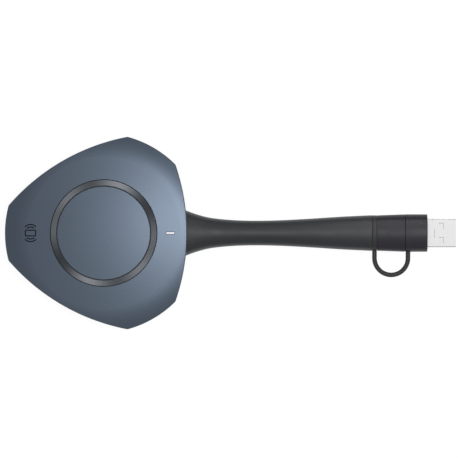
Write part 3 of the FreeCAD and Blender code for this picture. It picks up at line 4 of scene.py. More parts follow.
import bpy
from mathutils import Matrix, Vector


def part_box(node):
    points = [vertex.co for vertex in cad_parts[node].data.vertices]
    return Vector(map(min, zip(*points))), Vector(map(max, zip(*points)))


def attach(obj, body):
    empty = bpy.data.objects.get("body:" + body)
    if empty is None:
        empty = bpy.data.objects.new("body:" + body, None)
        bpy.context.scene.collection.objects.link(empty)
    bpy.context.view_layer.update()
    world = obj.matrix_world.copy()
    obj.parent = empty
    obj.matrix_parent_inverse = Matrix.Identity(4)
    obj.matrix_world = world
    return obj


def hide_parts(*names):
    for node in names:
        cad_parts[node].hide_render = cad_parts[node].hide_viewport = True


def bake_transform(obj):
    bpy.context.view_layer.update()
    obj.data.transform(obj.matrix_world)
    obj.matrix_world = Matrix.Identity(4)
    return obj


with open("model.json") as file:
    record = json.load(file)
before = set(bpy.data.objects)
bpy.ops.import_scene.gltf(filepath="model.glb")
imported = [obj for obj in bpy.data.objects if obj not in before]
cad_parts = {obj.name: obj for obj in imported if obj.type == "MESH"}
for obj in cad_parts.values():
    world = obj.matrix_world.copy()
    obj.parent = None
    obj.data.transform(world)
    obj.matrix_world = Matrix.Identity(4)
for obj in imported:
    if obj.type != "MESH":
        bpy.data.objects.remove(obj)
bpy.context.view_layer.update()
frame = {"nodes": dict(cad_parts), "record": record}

# The looks of a push-button display dongle, in the part's own frame: +X runs
# along the tail to the plug, +Z is up out of the button, and the button's
# axis is at the origin. Blender works in metres. The named sizes, and the
# rings and strokes of the pieces, are in millimetres, as in the part.
NODES = frame["nodes"]
MM = 0.001

# The puck and the height of the tail's axis
PUCK_HEIGHT = 14.0
CROWN_RADIUS = 520.0
AXIS = 6.6

# The tail: spans are along X, and halves are half a width and half a height.
# Each station is its place, half its width and half its height. The fullness
# is the radius of the side arcs, as a share of half the height. The parting
# line reaches a turn, in degrees, up and down from the middle of each side.
FLANGE_SPAN = (30.8, 32.2)
FLANGE_HALVES = (11.5, 4.1)
THROAT_END = 33.25
THROAT_HALVES = (8.4, 3.9)
TAIL_STATIONS = (
    (33.25, 9.95, 4.70),
    (38.50, 8.00, 4.35),
    (44.00, 6.53, 3.98),
    (50.50, 5.70, 3.70),
    (58.00, 5.24, 3.54),
    (66.50, 5.15, 3.50),
    (76.00, 5.42, 3.58),
    (87.00, 6.02, 3.78),
    (99.50, 6.82, 4.02),
    (106.20, 7.16, 4.13),
    (112.70, 7.46, 4.22),
)
SIDE_FULLNESS = 0.84
PARTING_TURN = 1.4
PARTING_HEIGHT = 0.05
CABLE_SPAN = (24.5, 116.0)
CABLE_RADIUS = 1.7
CABLE_CHAMFER = 0.1

# The tether: its band, then its loop with two legs at places along X
BAND_SPAN = (112.82, 114.82)
BAND_THICKNESS = 1.2
BAND_ROUNDING = 0.04
LOOP_RADIUS = 0.99
LOOP_LEGS = (113.85, 127.95)
LOOP_BEND_START = 10.58
LOOP_FOOT = 5.4
FOOT_SPREAD = 0.14
FOOT_FADE = 0.12
ADAPTER_HALF_WIDTH = 7.9

# The foot pad's edge and its border groove: how far in from the outline, and how high
PAD_PROFILE = ((3.4, 0.0), (3.1, 0.25), (2.5, 0.25), (2.2, 0.0), (0.4, 0.0), (0.1, 0.1), (0.0, 0.35))

# The painted shade in the gaps on both sides of the ring, a grey band in each: inner radius, outer radius
# and top of each band
GAP_SHADE_FOOT = 12.285
GAP_SHADE_BANDS = ((19.66, 19.97, 13.25), (22.23, 22.57, 12.33))

# The prints. An arc of the symbol is its tip's place from the middle and its peak's reach.
SYMBOL_X = -30.75
HANDSET_HALVES = (2.17, 1.2)
HANDSET_CORNER = 0.3
RADIO_ARCS = ((1.6, 1.95, 2.5), (2.3, 2.62, 3.6))
SYMBOL_LINE = 0.44
# The dark line round the lamp window is painted shade, for the gap round the light pipe
LAMP_X = 28.0
LAMP_HALVES = (1.8, 0.48)
LAMP_CORNER = 0.2
LAMP_LINE = 0.2
PRINT_HEIGHT = 0.02

# The large plug's shell: its crimp, its seam below and the tabs in its windows
USB_SPAN = (136.1, 148.1)
USB_HALF_HEIGHT = 2.25
CRIMP = ((139.05, -2.0), (139.05, 1.8))
CRIMP_LINE = 0.16
SEAM = ((USB_SPAN[0] + 0.1, 0.0), (139.3, 0.0), (139.9, 0.85), (141.9, 1.15), (141.9, -0.35), (143.1, -0.35),
        (143.1, 0.0), (USB_SPAN[1] - 0.35, 0.0))
SEAM_LINE = 0.12
JOINT_HEIGHT = 0.012
TAB_SPAN = (140.96, 142.74)
TAB_WIDTH = 2.29
TAB_THICKNESS = 0.2
TAB_SUNK = 0.04

# The painted shade in the seam before the adapter: a thin black oval ring
SEAM_SHADE_SPAN = (126.62, 126.86)
SEAM_SHADE_OUTER_HALVES = (7.66, 4.13)
SEAM_SHADE_INNER_HALVES = (7.29, 3.76)


# Small helpers


def linear(code):
    """The linear colour of an sRGB hex code."""
    shares = [int(code[place:place + 2], 16) / 255 for place in (1, 3, 5)]
    return [s / 12.92 if s <= 0.04045 else ((s + 0.055) / 1.055) ** 2.4 for s in shares] + [1.0]


def add_node(tree, kind, settings=(), sockets=()):
    """Adds a node with its settings, and sets or links its sockets by name or number."""
    made = tree.nodes.new("ShaderNode" + kind)
    for name, value in dict(settings).items():
        setattr(made, name, value)
    for name, value in dict(sockets).items():
        if isinstance(value, bpy.types.NodeSocket):
            tree.links.new(value, made.inputs[name])
        else:
            made.inputs[name].default_value = value
    return made


def finish(name, colour, roughness, sockets=()):
    """A named finish: its material, its node tree and its Principled shader."""
    material = bpy.data.materials.new(name)
    material.use_nodes = True
    material.diffuse_color = linear(colour)
    tree = material.node_tree
    shader = tree.nodes["Principled BSDF"]
    shader.inputs["Base Color"].default_value = linear(colour)
    shader.inputs["Roughness"].default_value = roughness
    for socket, value in dict(sockets).items():
        shader.inputs[socket].default_value = value
    return material, tree, shader


def per_metre(millimetres):
    """A texture's scale, from the size of its pattern in millimetres."""
    return 1000 / millimetres


def skin(name, *tubes):
    """A closed piece of one or more tubes.

    Each tube is its rings of points, in millimetres, all with the same number
    of points, and whether its last ring joins its first. Otherwise both ends
    are capped.
    """
    points = []
    faces = []
    for rings, joined in tubes:
        count = len(rings[0])
        starts = [len(points) + count * number for number in range(len(rings))]
        points += [[c * MM for c in point] for ring in rings for point in ring]
        pairs = list(zip(starts, starts[1:]))
        if joined:
            pairs.append((starts[-1], starts[0]))
        else:
            faces.append([starts[0] + place for place in reversed(range(count))])
            faces.append([starts[-1] + place for place in range(count)])
        for first, second in pairs:
            for place in range(count):
                after = (place + 1) % count
                faces.append((first + place, first + after, second + after, second + place))
    return piece_of(name, points, faces)


def piece_of(name, points, faces, sharp_from=38):
    """A smooth piece of points and faces, which keeps its sharper edges."""
    mesh = bpy.data.meshes.new(name)
    mesh.from_pydata(points, [], faces)
    mesh.validate()
    for face in mesh.polygons:
        face.use_smooth = True
    mesh.set_sharp_from_angle(angle=math.radians(sharp_from))
    made = bpy.data.objects.new(name, mesh)
    bpy.context.scene.collection.objects.link(made)
    return made


def dress(piece, material):
    """Gives a new piece its finish."""
    piece.data.materials.append(material)


def steps(start, end, longest):
    """Places from start to end, no further apart than longest."""
    count = max(1, math.ceil((end - start) / longest))
    return [start + (end - start) * i / count for i in range(count + 1)]


# Camera


# The view's centre, and how wide it is at that height, in metres
VIEW_CENTRE = (0.0526, 0.0017, 0.012)
VIEW_WIDTH = 0.19236


def set_camera():
    """A long lens straight above the dongle, as the photograph was taken."""
    lens = bpy.data.cameras.new("view_from_above")
    lens.lens = 400
    lens.sensor_width = 36
    lens.clip_end = 50
    camera = bpy.data.objects.new("view_from_above", lens)
    x, y, z = VIEW_CENTRE
    camera.location = (x, y, z + VIEW_WIDTH / lens.sensor_width * lens.lens)
    bpy.context.scene.collection.objects.link(camera)
    bpy.context.scene.camera = camera


set_camera()


# Light and floor


def softbox(name, place, aim, size, power, spread=180):
    """A square softbox at a place, turned to the point that it lights.

    A grid in front of it narrows its light to a spread in degrees. Places
    and its size are in metres, and its power is in watts.
    """
    lamp = bpy.data.lights.new(name, "AREA")
    lamp.shape = "SQUARE"
    lamp.size = size
    lamp.energy = power
    lamp.spread = math.radians(spread)
    box = bpy.data.objects.new(name, lamp)
    box.location = place
    box.rotation_euler = (Vector(aim) - Vector(place)).to_track_quat("-Z", "Y").to_euler()
    box.visible_camera = False
    bpy.context.scene.collection.objects.link(box)


def set_light():
    """An even white room, a softbox high over the plug and a small gridded one beside the plug."""
    room = bpy.data.worlds.new("studio_room")
    room.use_nodes = True
    bpy.context.scene.world = room
    sky = room.node_tree.nodes["Background"]
    sky.inputs["Color"].default_value = (1, 1, 1, 1)
    sky.inputs["Strength"].default_value = 0.45
    softbox("high_softbox", (0.17, 0.035, 0.907), aim=(0, 0, 0.01), size=0.08, power=1.0)
    softbox("plug_softbox", (0.14, 0.13, 0.21), aim=(0.12, 0, AXIS * MM), size=0.06, power=0.005, spread=50)


def set_floor():
    """A paper floor, which the camera and shiny surfaces see nearly white, with the soft shadow on it."""
    reach = 8
    below = 0.00002
    rim = [(reach * math.cos(math.radians(turn)), reach * math.sin(math.radians(turn)), -below)
           for turn in range(0, 360, 6)]
    floor = piece_of("studio_floor", rim, [tuple(range(len(rim)))])
    material = bpy.data.materials.new("white paper floor")
    material.use_nodes = True
    tree = material.node_tree
    tree.nodes.clear()
    paper = add_node(tree, "BsdfDiffuse", sockets={"Color": linear("#F0F0F0")})
    shaded = add_node(tree, "BsdfDiffuse", sockets={"Color": linear("#8A8A8A")})
    glow = add_node(tree, "Emission", sockets={"Color": (1, 1, 1, 1), "Strength": 0.9})
    bright = add_node(tree, "AddShader", sockets={0: shaded.outputs["BSDF"], 1: glow.outputs["Emission"]})
    rays = add_node(tree, "LightPath")
    some = add_node(tree, "Math", {"operation": "MAXIMUM"},
                    {0: rays.outputs["Is Camera Ray"], 1: rays.outputs["Is Glossy Ray"]})
    seen = add_node(tree, "Math", {"operation": "MAXIMUM"},
                    {0: some.outputs["Value"], 1: rays.outputs["Is Transmission Ray"]})
    shown = add_node(tree, "MixShader", sockets={0: seen.outputs["Value"], 1: paper.outputs["BSDF"],
                                                2: bright.outputs["Shader"]})
    add_node(tree, "OutputMaterial", sockets={"Surface": shown.outputs["Shader"]})
    floor.data.materials.append(material)


set_light()
set_floor()
bpy.context.scene.view_settings.view_transform = "Standard"


# Finishes


def satin_metallic_lacquer():
    """Blue-grey lacquer with fine metal flakes, sprayed on moulded ABS.

    The flakes lie nearly flat, so the colour is dark away from a lamp and
    brightens broadly towards it. They are about 0.03 mm, and are drawn as
    0.16 mm so that they show. The spray dries with a faint orange peel.
    """
    material, tree, shader = finish("satin metallic lacquer", "#556171", 0.35,
                                    {"Metallic": 1.0, "Coat Weight": 0.7, "Coat Roughness": 0.32})
    where = add_node(tree, "TexCoord").outputs["Object"]
    flakes = add_node(tree, "TexNoise", sockets={"Vector": where, "Scale": per_metre(0.16), "Detail": 1.0})
    tone = add_node(tree, "Mix", {"data_type": "RGBA"},
                    {0: flakes.outputs["Fac"], 6: linear("#4C5969"), 7: linear("#606D7D")})
    peel = add_node(tree, "TexNoise", sockets={"Vector": where, "Scale": per_metre(2.4), "Detail": 1.0})
    waves = add_node(tree, "Bump", sockets={"Height": peel.outputs["Fac"], "Distance": 0.003 * MM})
    sparkle = add_node(tree, "Bump", sockets={"Height": flakes.outputs["Fac"], "Distance": 0.0008 * MM,
                                              "Normal": waves.outputs["Normal"]})
    tree.links.new(tone.outputs[2], shader.inputs["Base Color"])
    tree.links.new(sparkle.outputs["Normal"], shader.inputs["Normal"])
    return material


def spun_gunmetal():
    """Steel spun on a lathe, plated gunmetal grey and given a polish.

    The tool leaves fine rings round the button, drawn 0.14 mm apart. The
    lighter fans across the band, the same on opposite sides, are painted
    highlights at three fixed directions.
    """
    material, tree, shader = finish("spun gunmetal", "#5E6065", 0.42, {"Metallic": 1.0, "Anisotropic": 0.7})
    where = add_node(tree, "TexCoord").outputs["Object"]
    flat = add_node(tree, "VectorMath", {"operation": "MULTIPLY"}, {0: where, 1: (1, 1, 0)})
    reach = add_node(tree, "VectorMath", {"operation": "LENGTH"}, {0: flat.outputs["Vector"]})
    outward = add_node(tree, "VectorMath", {"operation": "NORMALIZE"}, {0: flat.outputs["Vector"]})
    # Painted highlights: lighter fans at three fixed directions round the ring, each with its strength,
    # mixed into the base colour
    fans = 0.0
    for turn, strength in ((-3, 0.6), (70, 1.0), (138, 0.7)):
        ray = (math.cos(math.radians(turn)), math.sin(math.radians(turn)), 0)
        along = add_node(tree, "VectorMath", {"operation": "DOT_PRODUCT"},
                         {0: outward.outputs["Vector"], 1: ray})
        both_sides = add_node(tree, "Math", {"operation": "ABSOLUTE"}, {0: along.outputs["Value"]})
        fan = add_node(tree, "Math", {"operation": "POWER"}, {0: both_sides.outputs["Value"], 1: 16.0})
        fans = add_node(tree, "Math", {"operation": "MULTIPLY_ADD"},
                        {0: fan.outputs["Value"], 1: strength, 2: fans}).outputs["Value"]
    painted_highlight_tone = add_node(tree, "Mix", {"data_type": "RGBA"},
                        {0: fans, 6: linear("#3F4347"), 7: linear("#84888D")})
    rings = add_node(tree, "TexNoise", {"noise_dimensions": "1D"},
                     {"W": reach.outputs["Value"], "Scale": per_metre(0.14), "Detail": 2.0})
    shade = add_node(tree, "MapRange", sockets={"Value": rings.outputs["Fac"], "To Min": 0.8, "To Max": 1.2})
    tone = add_node(tree, "VectorMath", {"operation": "SCALE"},
                    {0: painted_highlight_tone.outputs[2], "Scale": shade.outputs["Result"]})
    grooves = add_node(tree, "Bump", sockets={"Height": rings.outputs["Fac"], "Distance": 0.003 * MM})
    around = add_node(tree, "Tangent", {"direction_type": "RADIAL", "axis": "Z"})
    tree.links.new(tone.outputs["Vector"], shader.inputs["Base Color"])
    tree.links.new(grooves.outputs["Normal"], shader.inputs["Normal"])
    tree.links.new(around.outputs["Tangent"], shader.inputs["Tangent"])
    return material


def satin_elastomer(name, dark, light, roughness):
    """Thermoplastic rubber from a mould with a fine spark-eroded face.

    The 0.2 mm grain breaks up the shine to a soft satin band, and handling
    leaves some places a little smoother than others.
    """
    material, tree, shader = finish(name, dark, roughness, {"IOR": 1.5, "Specular IOR Level": 0.8})
    where = add_node(tree, "TexCoord").outputs["Object"]
    cloud = add_node(tree, "TexNoise", sockets={"Vector": where, "Scale": per_metre(4.0), "Detail": 2.0})
    tone = add_node(tree, "Mix", {"data_type": "RGBA"},
                    {0: cloud.outputs["Fac"], 6: linear(dark), 7: linear(light)})
    worn = add_node(tree, "MapRange", sockets={"Value": cloud.outputs["Fac"], "To Min": roughness - 0.07,
                                               "To Max": roughness + 0.07})
    grain = add_node(tree, "TexNoise", sockets={"Vector": where, "Scale": per_metre(0.2), "Detail": 3.0})
    face = add_node(tree, "Bump", sockets={"Height": grain.outputs["Fac"], "Distance": 0.010 * MM})
    tree.links.new(tone.outputs[2], shader.inputs["Base Color"])
    tree.links.new(worn.outputs["Result"], shader.inputs["Roughness"])
    tree.links.new(face.outputs["Normal"], shader.inputs["Normal"])
    return material


def moulded_plastic(name, dark, light, roughness, grain_size, depth):
    """Injection-moulded plastic, with the grain of its mould and its depth in millimetres.

    Resin flow leaves the tone and the gloss very slightly uneven.
    """
    material, tree, shader = finish(name, dark, roughness, {"IOR": 1.52})
    where = add_node(tree, "TexCoord").outputs["Object"]
    flow = add_node(tree, "TexNoise", sockets={"Vector": where, "Scale": per_metre(3.0), "Detail": 2.0})
    tone = add_node(tree, "Mix", {"data_type": "RGBA"},
                    {0: flow.outputs["Fac"], 6: linear(dark), 7: linear(light)})
    gloss = add_node(tree, "MapRange", sockets={"Value": flow.outputs["Fac"], "To Min": roughness - 0.06,
                                                "To Max": roughness + 0.06})
    grain = add_node(tree, "TexNoise", sockets={"Vector": where, "Scale": per_metre(grain_size),
                                                "Detail": 3.0})
    face = add_node(tree, "Bump", sockets={"Height": grain.outputs["Fac"], "Distance": depth * MM})
    tree.links.new(tone.outputs[2], shader.inputs["Base Color"])
    tree.links.new(gloss.outputs["Result"], shader.inputs["Roughness"])
    tree.links.new(face.outputs["Normal"], shader.inputs["Normal"])
    return material


def plated_sheet(name, dark, light, roughness, along):
    """Plated sheet metal, with the fine lines that rolling left along an axis.

    The lines are drawn 0.12 mm apart and stretched along the sheet. They
    soften the plate's reflection to an even satin.
    """
    material, tree, shader = finish(name, dark, roughness, {"Metallic": 1.0})
    where = add_node(tree, "TexCoord").outputs["Object"]
    drawn = add_node(tree, "Mapping", sockets={"Vector": where, "Scale": [1 / a for a in along]})
    lines = add_node(tree, "TexNoise", sockets={"Vector": drawn.outputs["Vector"], "Scale": per_metre(0.12),
                                                "Detail": 2.0})
    tone = add_node(tree, "Mix", {"data_type": "RGBA"},
                    {0: lines.outputs["Fac"], 6: linear(dark), 7: linear(light)})
    gloss = add_node(tree, "MapRange", sockets={"Value": lines.outputs["Fac"], "To Min": roughness - 0.05,
                                                "To Max": roughness + 0.05})
    face = add_node(tree, "Bump", sockets={"Height": lines.outputs["Fac"], "Distance": 0.0003 * MM})
    tree.links.new(tone.outputs[2], shader.inputs["Base Color"])
    tree.links.new(gloss.outputs["Result"], shader.inputs["Roughness"])
    tree.links.new(face.outputs["Normal"], shader.inputs["Normal"])
    return material


def solder_mask():
    """Green solder mask on glass-epoxy, with copper tracks 0.2 mm wide under it."""
    material, tree, shader = finish("green solder mask", "#0F5B33", 0.30, {"IOR": 1.55, "Coat Weight": 0.3})
    where = add_node(tree, "TexCoord").outputs["Object"]
    tracks = add_node(tree, "TexVoronoi", {"feature": "DISTANCE_TO_EDGE"},
                      {"Vector": where, "Scale": per_metre(1.6), "Randomness": 0.35})
    copper = add_node(tree, "MapRange", sockets={"Value": tracks.outputs["Distance"], "From Min": 0.05,
                                                 "From Max": 0.09})
    tone = add_node(tree, "Mix", {"data_type": "RGBA"},
                    {0: copper.outputs["Result"], 6: linear("#1D7A48"), 7: linear("#0F5B33")})
    raised = add_node(tree, "Bump", {"invert": True}, {"Height": copper.outputs["Result"],
                                                       "Distance": 0.02 * MM})
    tree.links.new(tone.outputs[2], shader.inputs["Base Color"])
    tree.links.new(raised.outputs["Normal"], shader.inputs["Normal"])
    return material


def enamelled_winding():
    """Copper wire in clear enamel, wound flat, turn beside turn, 0.2 mm apart."""
    material, tree, shader = finish("enamelled copper wire", "#B5653A", 0.28,
                                    {"Metallic": 1.0, "Coat Weight": 0.6, "Coat Roughness": 0.12})
    low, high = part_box("pairing_coil")
    where = add_node(tree, "TexCoord").outputs["Object"]
    shift = add_node(tree, "VectorMath", {"operation": "SUBTRACT"}, {0: where, 1: (low + high) / 2})
    apart = add_node(tree, "VectorMath", {"operation": "ABSOLUTE"}, {0: shift.outputs["Vector"]})
    parts = add_node(tree, "SeparateXYZ", sockets={"Vector": apart.outputs["Vector"]})
    across = add_node(tree, "Math", {"operation": "SUBTRACT"},
                      {0: parts.outputs["Y"], 1: (high.y - low.y - high.x + low.x) / 2})
    out = add_node(tree, "Math", {"operation": "MAXIMUM"},
                   {0: parts.outputs["X"], 1: across.outputs["Value"]})
    turns = add_node(tree, "Math", {"operation": "MULTIPLY"},
                     {0: out.outputs["Value"], 1: 2 * math.pi * per_metre(0.2)})
    wave = add_node(tree, "Math", {"operation": "SINE"}, {0: turns.outputs["Value"]})
    share = add_node(tree, "MapRange", sockets={"Value": wave.outputs["Value"], "From Min": -1.0})
    # Painted shade and highlight: the copper is darker in the grooves between turns and lighter on their
    # crowns
    tone = add_node(tree, "Mix", {"data_type": "RGBA"},
                    {0: share.outputs["Result"], 6: linear("#8A4526"), 7: linear("#C27343")})
    face = add_node(tree, "Bump", sockets={"Height": share.outputs["Result"], "Distance": 0.03 * MM})
    tree.links.new(tone.outputs[2], shader.inputs["Base Color"])
    tree.links.new(face.outputs["Normal"], shader.inputs["Normal"])
    return material


def coloured_wires():
    """Glossy PVC insulation in four colours, one beside the other across the tail."""
    material, tree, shader = finish("coloured wire insulation", "#A02018", 0.35, {"IOR": 1.53})
    where = add_node(tree, "TexCoord").outputs["Object"]
    parts = add_node(tree, "SeparateXYZ", sockets={"Vector": where})
    across = add_node(tree, "MapRange", sockets={"Value": parts.outputs["Y"], "From Min": -1.6 * MM,
                                                 "From Max": 1.6 * MM})
    ramp = add_node(tree, "ValToRGB", sockets={"Fac": across.outputs["Result"]})
    ramp.color_ramp.interpolation = "CONSTANT"
    ramp.color_ramp.elements[0].color = linear("#A02018")
    ramp.color_ramp.elements[1].position = 0.25
    ramp.color_ramp.elements[1].color = linear("#E4E4DE")
    for position, colour in ((0.5, "#1F6B3A"), (0.75, "#1C1C1E")):
        ramp.color_ramp.elements.new(position).color = linear(colour)
    drawn = add_node(tree, "TexNoise", sockets={"Vector": where, "Scale": per_metre(0.5)})
    face = add_node(tree, "Bump", sockets={"Height": drawn.outputs["Fac"], "Distance": 0.004 * MM})
    tree.links.new(ramp.outputs["Color"], shader.inputs["Base Color"])
    tree.links.new(face.outputs["Normal"], shader.inputs["Normal"])
    return material


def frosted_acrylic():
    """Clear acrylic with a fine matt face, lit white from below."""
    material, tree, shader = finish("frosted acrylic", "#F4F6F8", 0.45,
                                    {"IOR": 1.49, "Emission Strength": 0.36,
                                     "Emission Color": linear("#F7FAFF")})
    where = add_node(tree, "TexCoord").outputs["Object"]
    frost = add_node(tree, "TexNoise", sockets={"Vector": where, "Scale": per_metre(0.12), "Detail": 2.0})
    face = add_node(tree, "Bump", sockets={"Height": frost.outputs["Fac"], "Distance": 0.004 * MM})
    tree.links.new(face.outputs["Normal"], shader.inputs["Normal"])
    return material


LACQUER = satin_metallic_lacquer()
GUNMETAL = spun_gunmetal()
TAIL_RUBBER = satin_elastomer("satin tail rubber", "#0D161D", "#151E25", 0.44)
TETHER_RUBBER = satin_elastomer("satin tether rubber", "#111115", "#19191D", 0.48)
# Painted shade for the seam before the adapter
SEAM_SHADE_BLACK = satin_elastomer("matt black seam shade", "#060608", "#0B0B0D", 0.85)
PAD_RUBBER = satin_elastomer("matt silicone rubber", "#202021", "#2A2A2B", 0.78)
CABLE_PVC = satin_elastomer("soft PVC jacket", "#262628", "#303032", 0.55)
GRIP_PLASTIC = moulded_plastic("satin black ABS", "#1C1924", "#26232E", 0.42, 0.15, 0.004)
TRAY_PLASTIC = moulded_plastic("textured black ABS", "#28292C", "#343538", 0.62, 0.25, 0.02)
BLACK_RESIN = moulded_plastic("black moulding resin", "#232325", "#2F2F31", 0.55, 0.1, 0.006)
# Painted shade for the gaps on both sides of the ring
GAP_SHADE_GREY = moulded_plastic("grey gap shade", "#4A4D52", "#565A5F", 0.9, 0.2, 0.03)
WHITE_NYLON = moulded_plastic("white moulded nylon", "#EDEDEA", "#F5F5F2", 0.45, 0.3, 0.004)
CREAM_PLASTIC = moulded_plastic("natural acetal", "#C5C1B5", "#D5D1C5", 0.4, 0.2, 0.003)
HEAT_PAD = moulded_plastic("filled thermal silicone", "#9DB5C6", "#B1C9D9", 0.75, 0.3, 0.02)
FERRITE = moulded_plastic("flexible ferrite sheet", "#404043", "#505053", 0.6, 0.15, 0.01)
LAMP_RESIN = moulded_plastic("clear lamp resin", "#ECECE6", "#F6F6F0", 0.2, 0.5, 0.001)
NICKEL = plated_sheet("nickel-plated steel sheet", "#DCDCDC", "#E9E9E9", 0.50, (12, 1, 1))
TIN = plated_sheet("tin-plated sheet", "#C2C2BF", "#D6D6D3", 0.38, (1, 6, 1))
ZINC = plated_sheet("zinc-plated steel", "#B5B8BB", "#CCCED0", 0.34, (1, 1, 1))
GOLD = plated_sheet("gold-plated contacts", "#DDB05C", "#EEC678", 0.24, (6, 1, 1))
SOLDER_MASK = solder_mask()
COPPER = enamelled_winding()
WIRES = coloured_wires()
ACRYLIC = frosted_acrylic()

FINISHES = {
    "cover_lacquer": LACQUER,
    "tray_plastic": TRAY_PLASTIC,
    "pad_rubber": PAD_RUBBER,
    "ring_metal": GUNMETAL,
    "component_black": BLACK_RESIN,
    "plunger_plastic": CREAM_PLASTIC,
    "board_green": SOLDER_MASK,
    "tin_plate": TIN,
    "thermal_silicone": HEAT_PAD,
    "ferrite_sheet": FERRITE,
    "copper_winding": COPPER,
    "lamp_white": LAMP_RESIN,
    "clear_acrylic": ACRYLIC,
    "zinc_steel": ZINC,
    "cable_jacket": CABLE_PVC,
    "connector_white": WHITE_NYLON,
    "wire_insulation": WIRES,
    "sleeve_rubber": TAIL_RUBBER,
    "grip_plastic": GRIP_PLASTIC,
    "tether_rubber": TETHER_RUBBER,
    "nickel_steel": NICKEL,
    "gold_contacts": GOLD,
}


def dress_nodes():
    """Each solid of the part takes the finish that the record names for it."""
    for row in frame["record"]["subparts"]:
        solid = NODES[row["node"]]
        solid.data.materials.clear()
        solid.data.materials.append(FINISHES[row["material_slot"]])


dress_nodes()


# The oval that the tail and the tether's band share


def eased(stations, x, column):
    """A width or height at x, on a smooth line through the stations."""
    xs = [station[0] for station in stations]
    values = [station[column] for station in stations]
    place = max(i for i in range(len(xs) - 1) if xs[i] <= x + 1e-9)
    slopes = []
    for i in (place, place + 1):
        before = max(i - 1, 0)
        after = min(i + 1, len(xs) - 1)
        slopes.append((values[after] - values[before]) / (xs[after] - xs[before]))
    run = xs[place + 1] - xs[place]
    t = (x - xs[place]) / run
    return (values[place] * (1 + 2 * t) * (1 - t) ** 2 + values[place + 1] * t * t * (3 - 2 * t)
            + slopes[0] * run * t * (1 - t) ** 2 - slopes[1] * run * t * t * (1 - t))


def oval_turns(parting=0.0):
    """Directions round an oval, each seen from the centre of its own arc.

    They are closer together on the broad arcs, whose centres are far off,
    and beside the parting line.
    """
    fine = [0.0]
    if parting:
        fine = [-2 * parting, -parting, 0.0, parting, 2 * parting]
    side = sorted([turn for turn in range(-70, 71, 10) if abs(turn) > 2 * parting] + fine)
    half = side + list(range(74, 108, 2))
    return [math.radians(turn) for turn in half + [180 + turn for turn in half]]


def oval_ring(x, half_width, half_height, turns, raised=0.0):
    """The part's oval of four arcs at x, with its parting line raised at both sides.

    The side arcs have their centres at reach from the axis, and the broad
    arcs theirs at below on the far side of it.
    """
    side = SIDE_FULLNESS * half_height
    reach = half_width - side
    rise = half_height - side
    below = (reach ** 2 - rise ** 2) / (2 * rise)
    broad = half_height + below
    corner = math.atan2(below, reach)
    ring = []
    for turn in turns:
        folded = math.atan2(math.sin(turn), math.cos(turn))
        off = min(abs(folded), math.pi - abs(folded))
        if off <= corner:
            radius = side + raised if off < math.radians(1.5 * PARTING_TURN) else side
            y = math.copysign(reach, math.cos(turn)) + radius * math.cos(turn)
            z = radius * math.sin(turn)
        else:
            y = broad * math.cos(turn)
            z = broad * math.sin(turn) - math.copysign(below, math.sin(turn))
        ring.append((x, y, AXIS + z))
    return ring


def boxed_ring(x, half_width, half_height, turns, sharpness=9):
    """A rectangle with rounded corners, with one point for each point of an oval."""
    ring = []
    for x, y, z in oval_ring(x, half_width, half_height, turns):
        turn = math.atan2(z - AXIS, y)
        reach = (abs(math.cos(turn) / half_width) ** sharpness
                 + abs(math.sin(turn) / half_height) ** sharpness) ** (-1 / sharpness)
        ring.append((x, reach * math.cos(turn), AXIS + reach * math.sin(turn)))
    return ring


def round_ring(x, radius, turns):
    """A circle about the cable's axis, with one point for each direction."""
    return [(x, radius * math.cos(turn), AXIS + radius * math.sin(turn)) for turn in turns]


# The rubber tail and the cable in it


def bend_with_tail(piece):
    """Bakes the placing of a piece of the tail into its points."""
    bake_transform(piece)


def make_tail():
    """The sleeve: a flange in the puck, a waisted oval tail and a bore for the cable."""
    turns = oval_turns(PARTING_TURN)
    outer = [boxed_ring(x, *FLANGE_HALVES, turns) for x in FLANGE_SPAN]
    step = 0.02
    outer += [oval_ring(x, *THROAT_HALVES, turns) for x in (FLANGE_SPAN[1] + step, THROAT_END - step)]
    start = TAIL_STATIONS[0][0]
    last, last_width, last_height = TAIL_STATIONS[-1]
    for x in steps(start, last - 0.3, 1.2):
        width = eased(TAIL_STATIONS, x, 1)
        height = eased(TAIL_STATIONS, x, 2)
        outer.append(oval_ring(x, width, height, turns, PARTING_HEIGHT))
    end = BAND_SPAN[0] - 0.04
    for back, inward in ((0.06, 0.0), (0.02, 0.02), (0.0, 0.06)):
        outer.append(oval_ring(end - back, last_width - inward, last_height - inward, turns))
    bore_radius = CABLE_RADIUS + 0.05
    bore = [round_ring(x, bore_radius, turns) for x in reversed(steps(FLANGE_SPAN[0], end, 2.0))]
    tail = skin("tail_rubber", (outer + bore, True))
    dress(tail, TAIL_RUBBER)
    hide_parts("tail_sleeve")
    bend_with_tail(tail)


def make_cable():
    """The cable in the tail, with its jacket cut square and its edges broken at both ends."""
    turns = [math.radians(turn) for turn in range(0, 360, 12)]
    start, *middle, end = steps(*CABLE_SPAN, 2.0)
    rings = [round_ring(start, CABLE_RADIUS - CABLE_CHAMFER, turns)]
    full = [start + CABLE_CHAMFER] + middle + [end - CABLE_CHAMFER]
    rings += [round_ring(x, CABLE_RADIUS, turns) for x in full]
    rings.append(round_ring(end, CABLE_RADIUS - CABLE_CHAMFER, turns))
    cable = skin("tail_cable", (rings, False))
    dress(cable, CABLE_PVC)
    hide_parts("usb_cable")
    bend_with_tail(cable)


make_tail()
make_cable()


# The tether


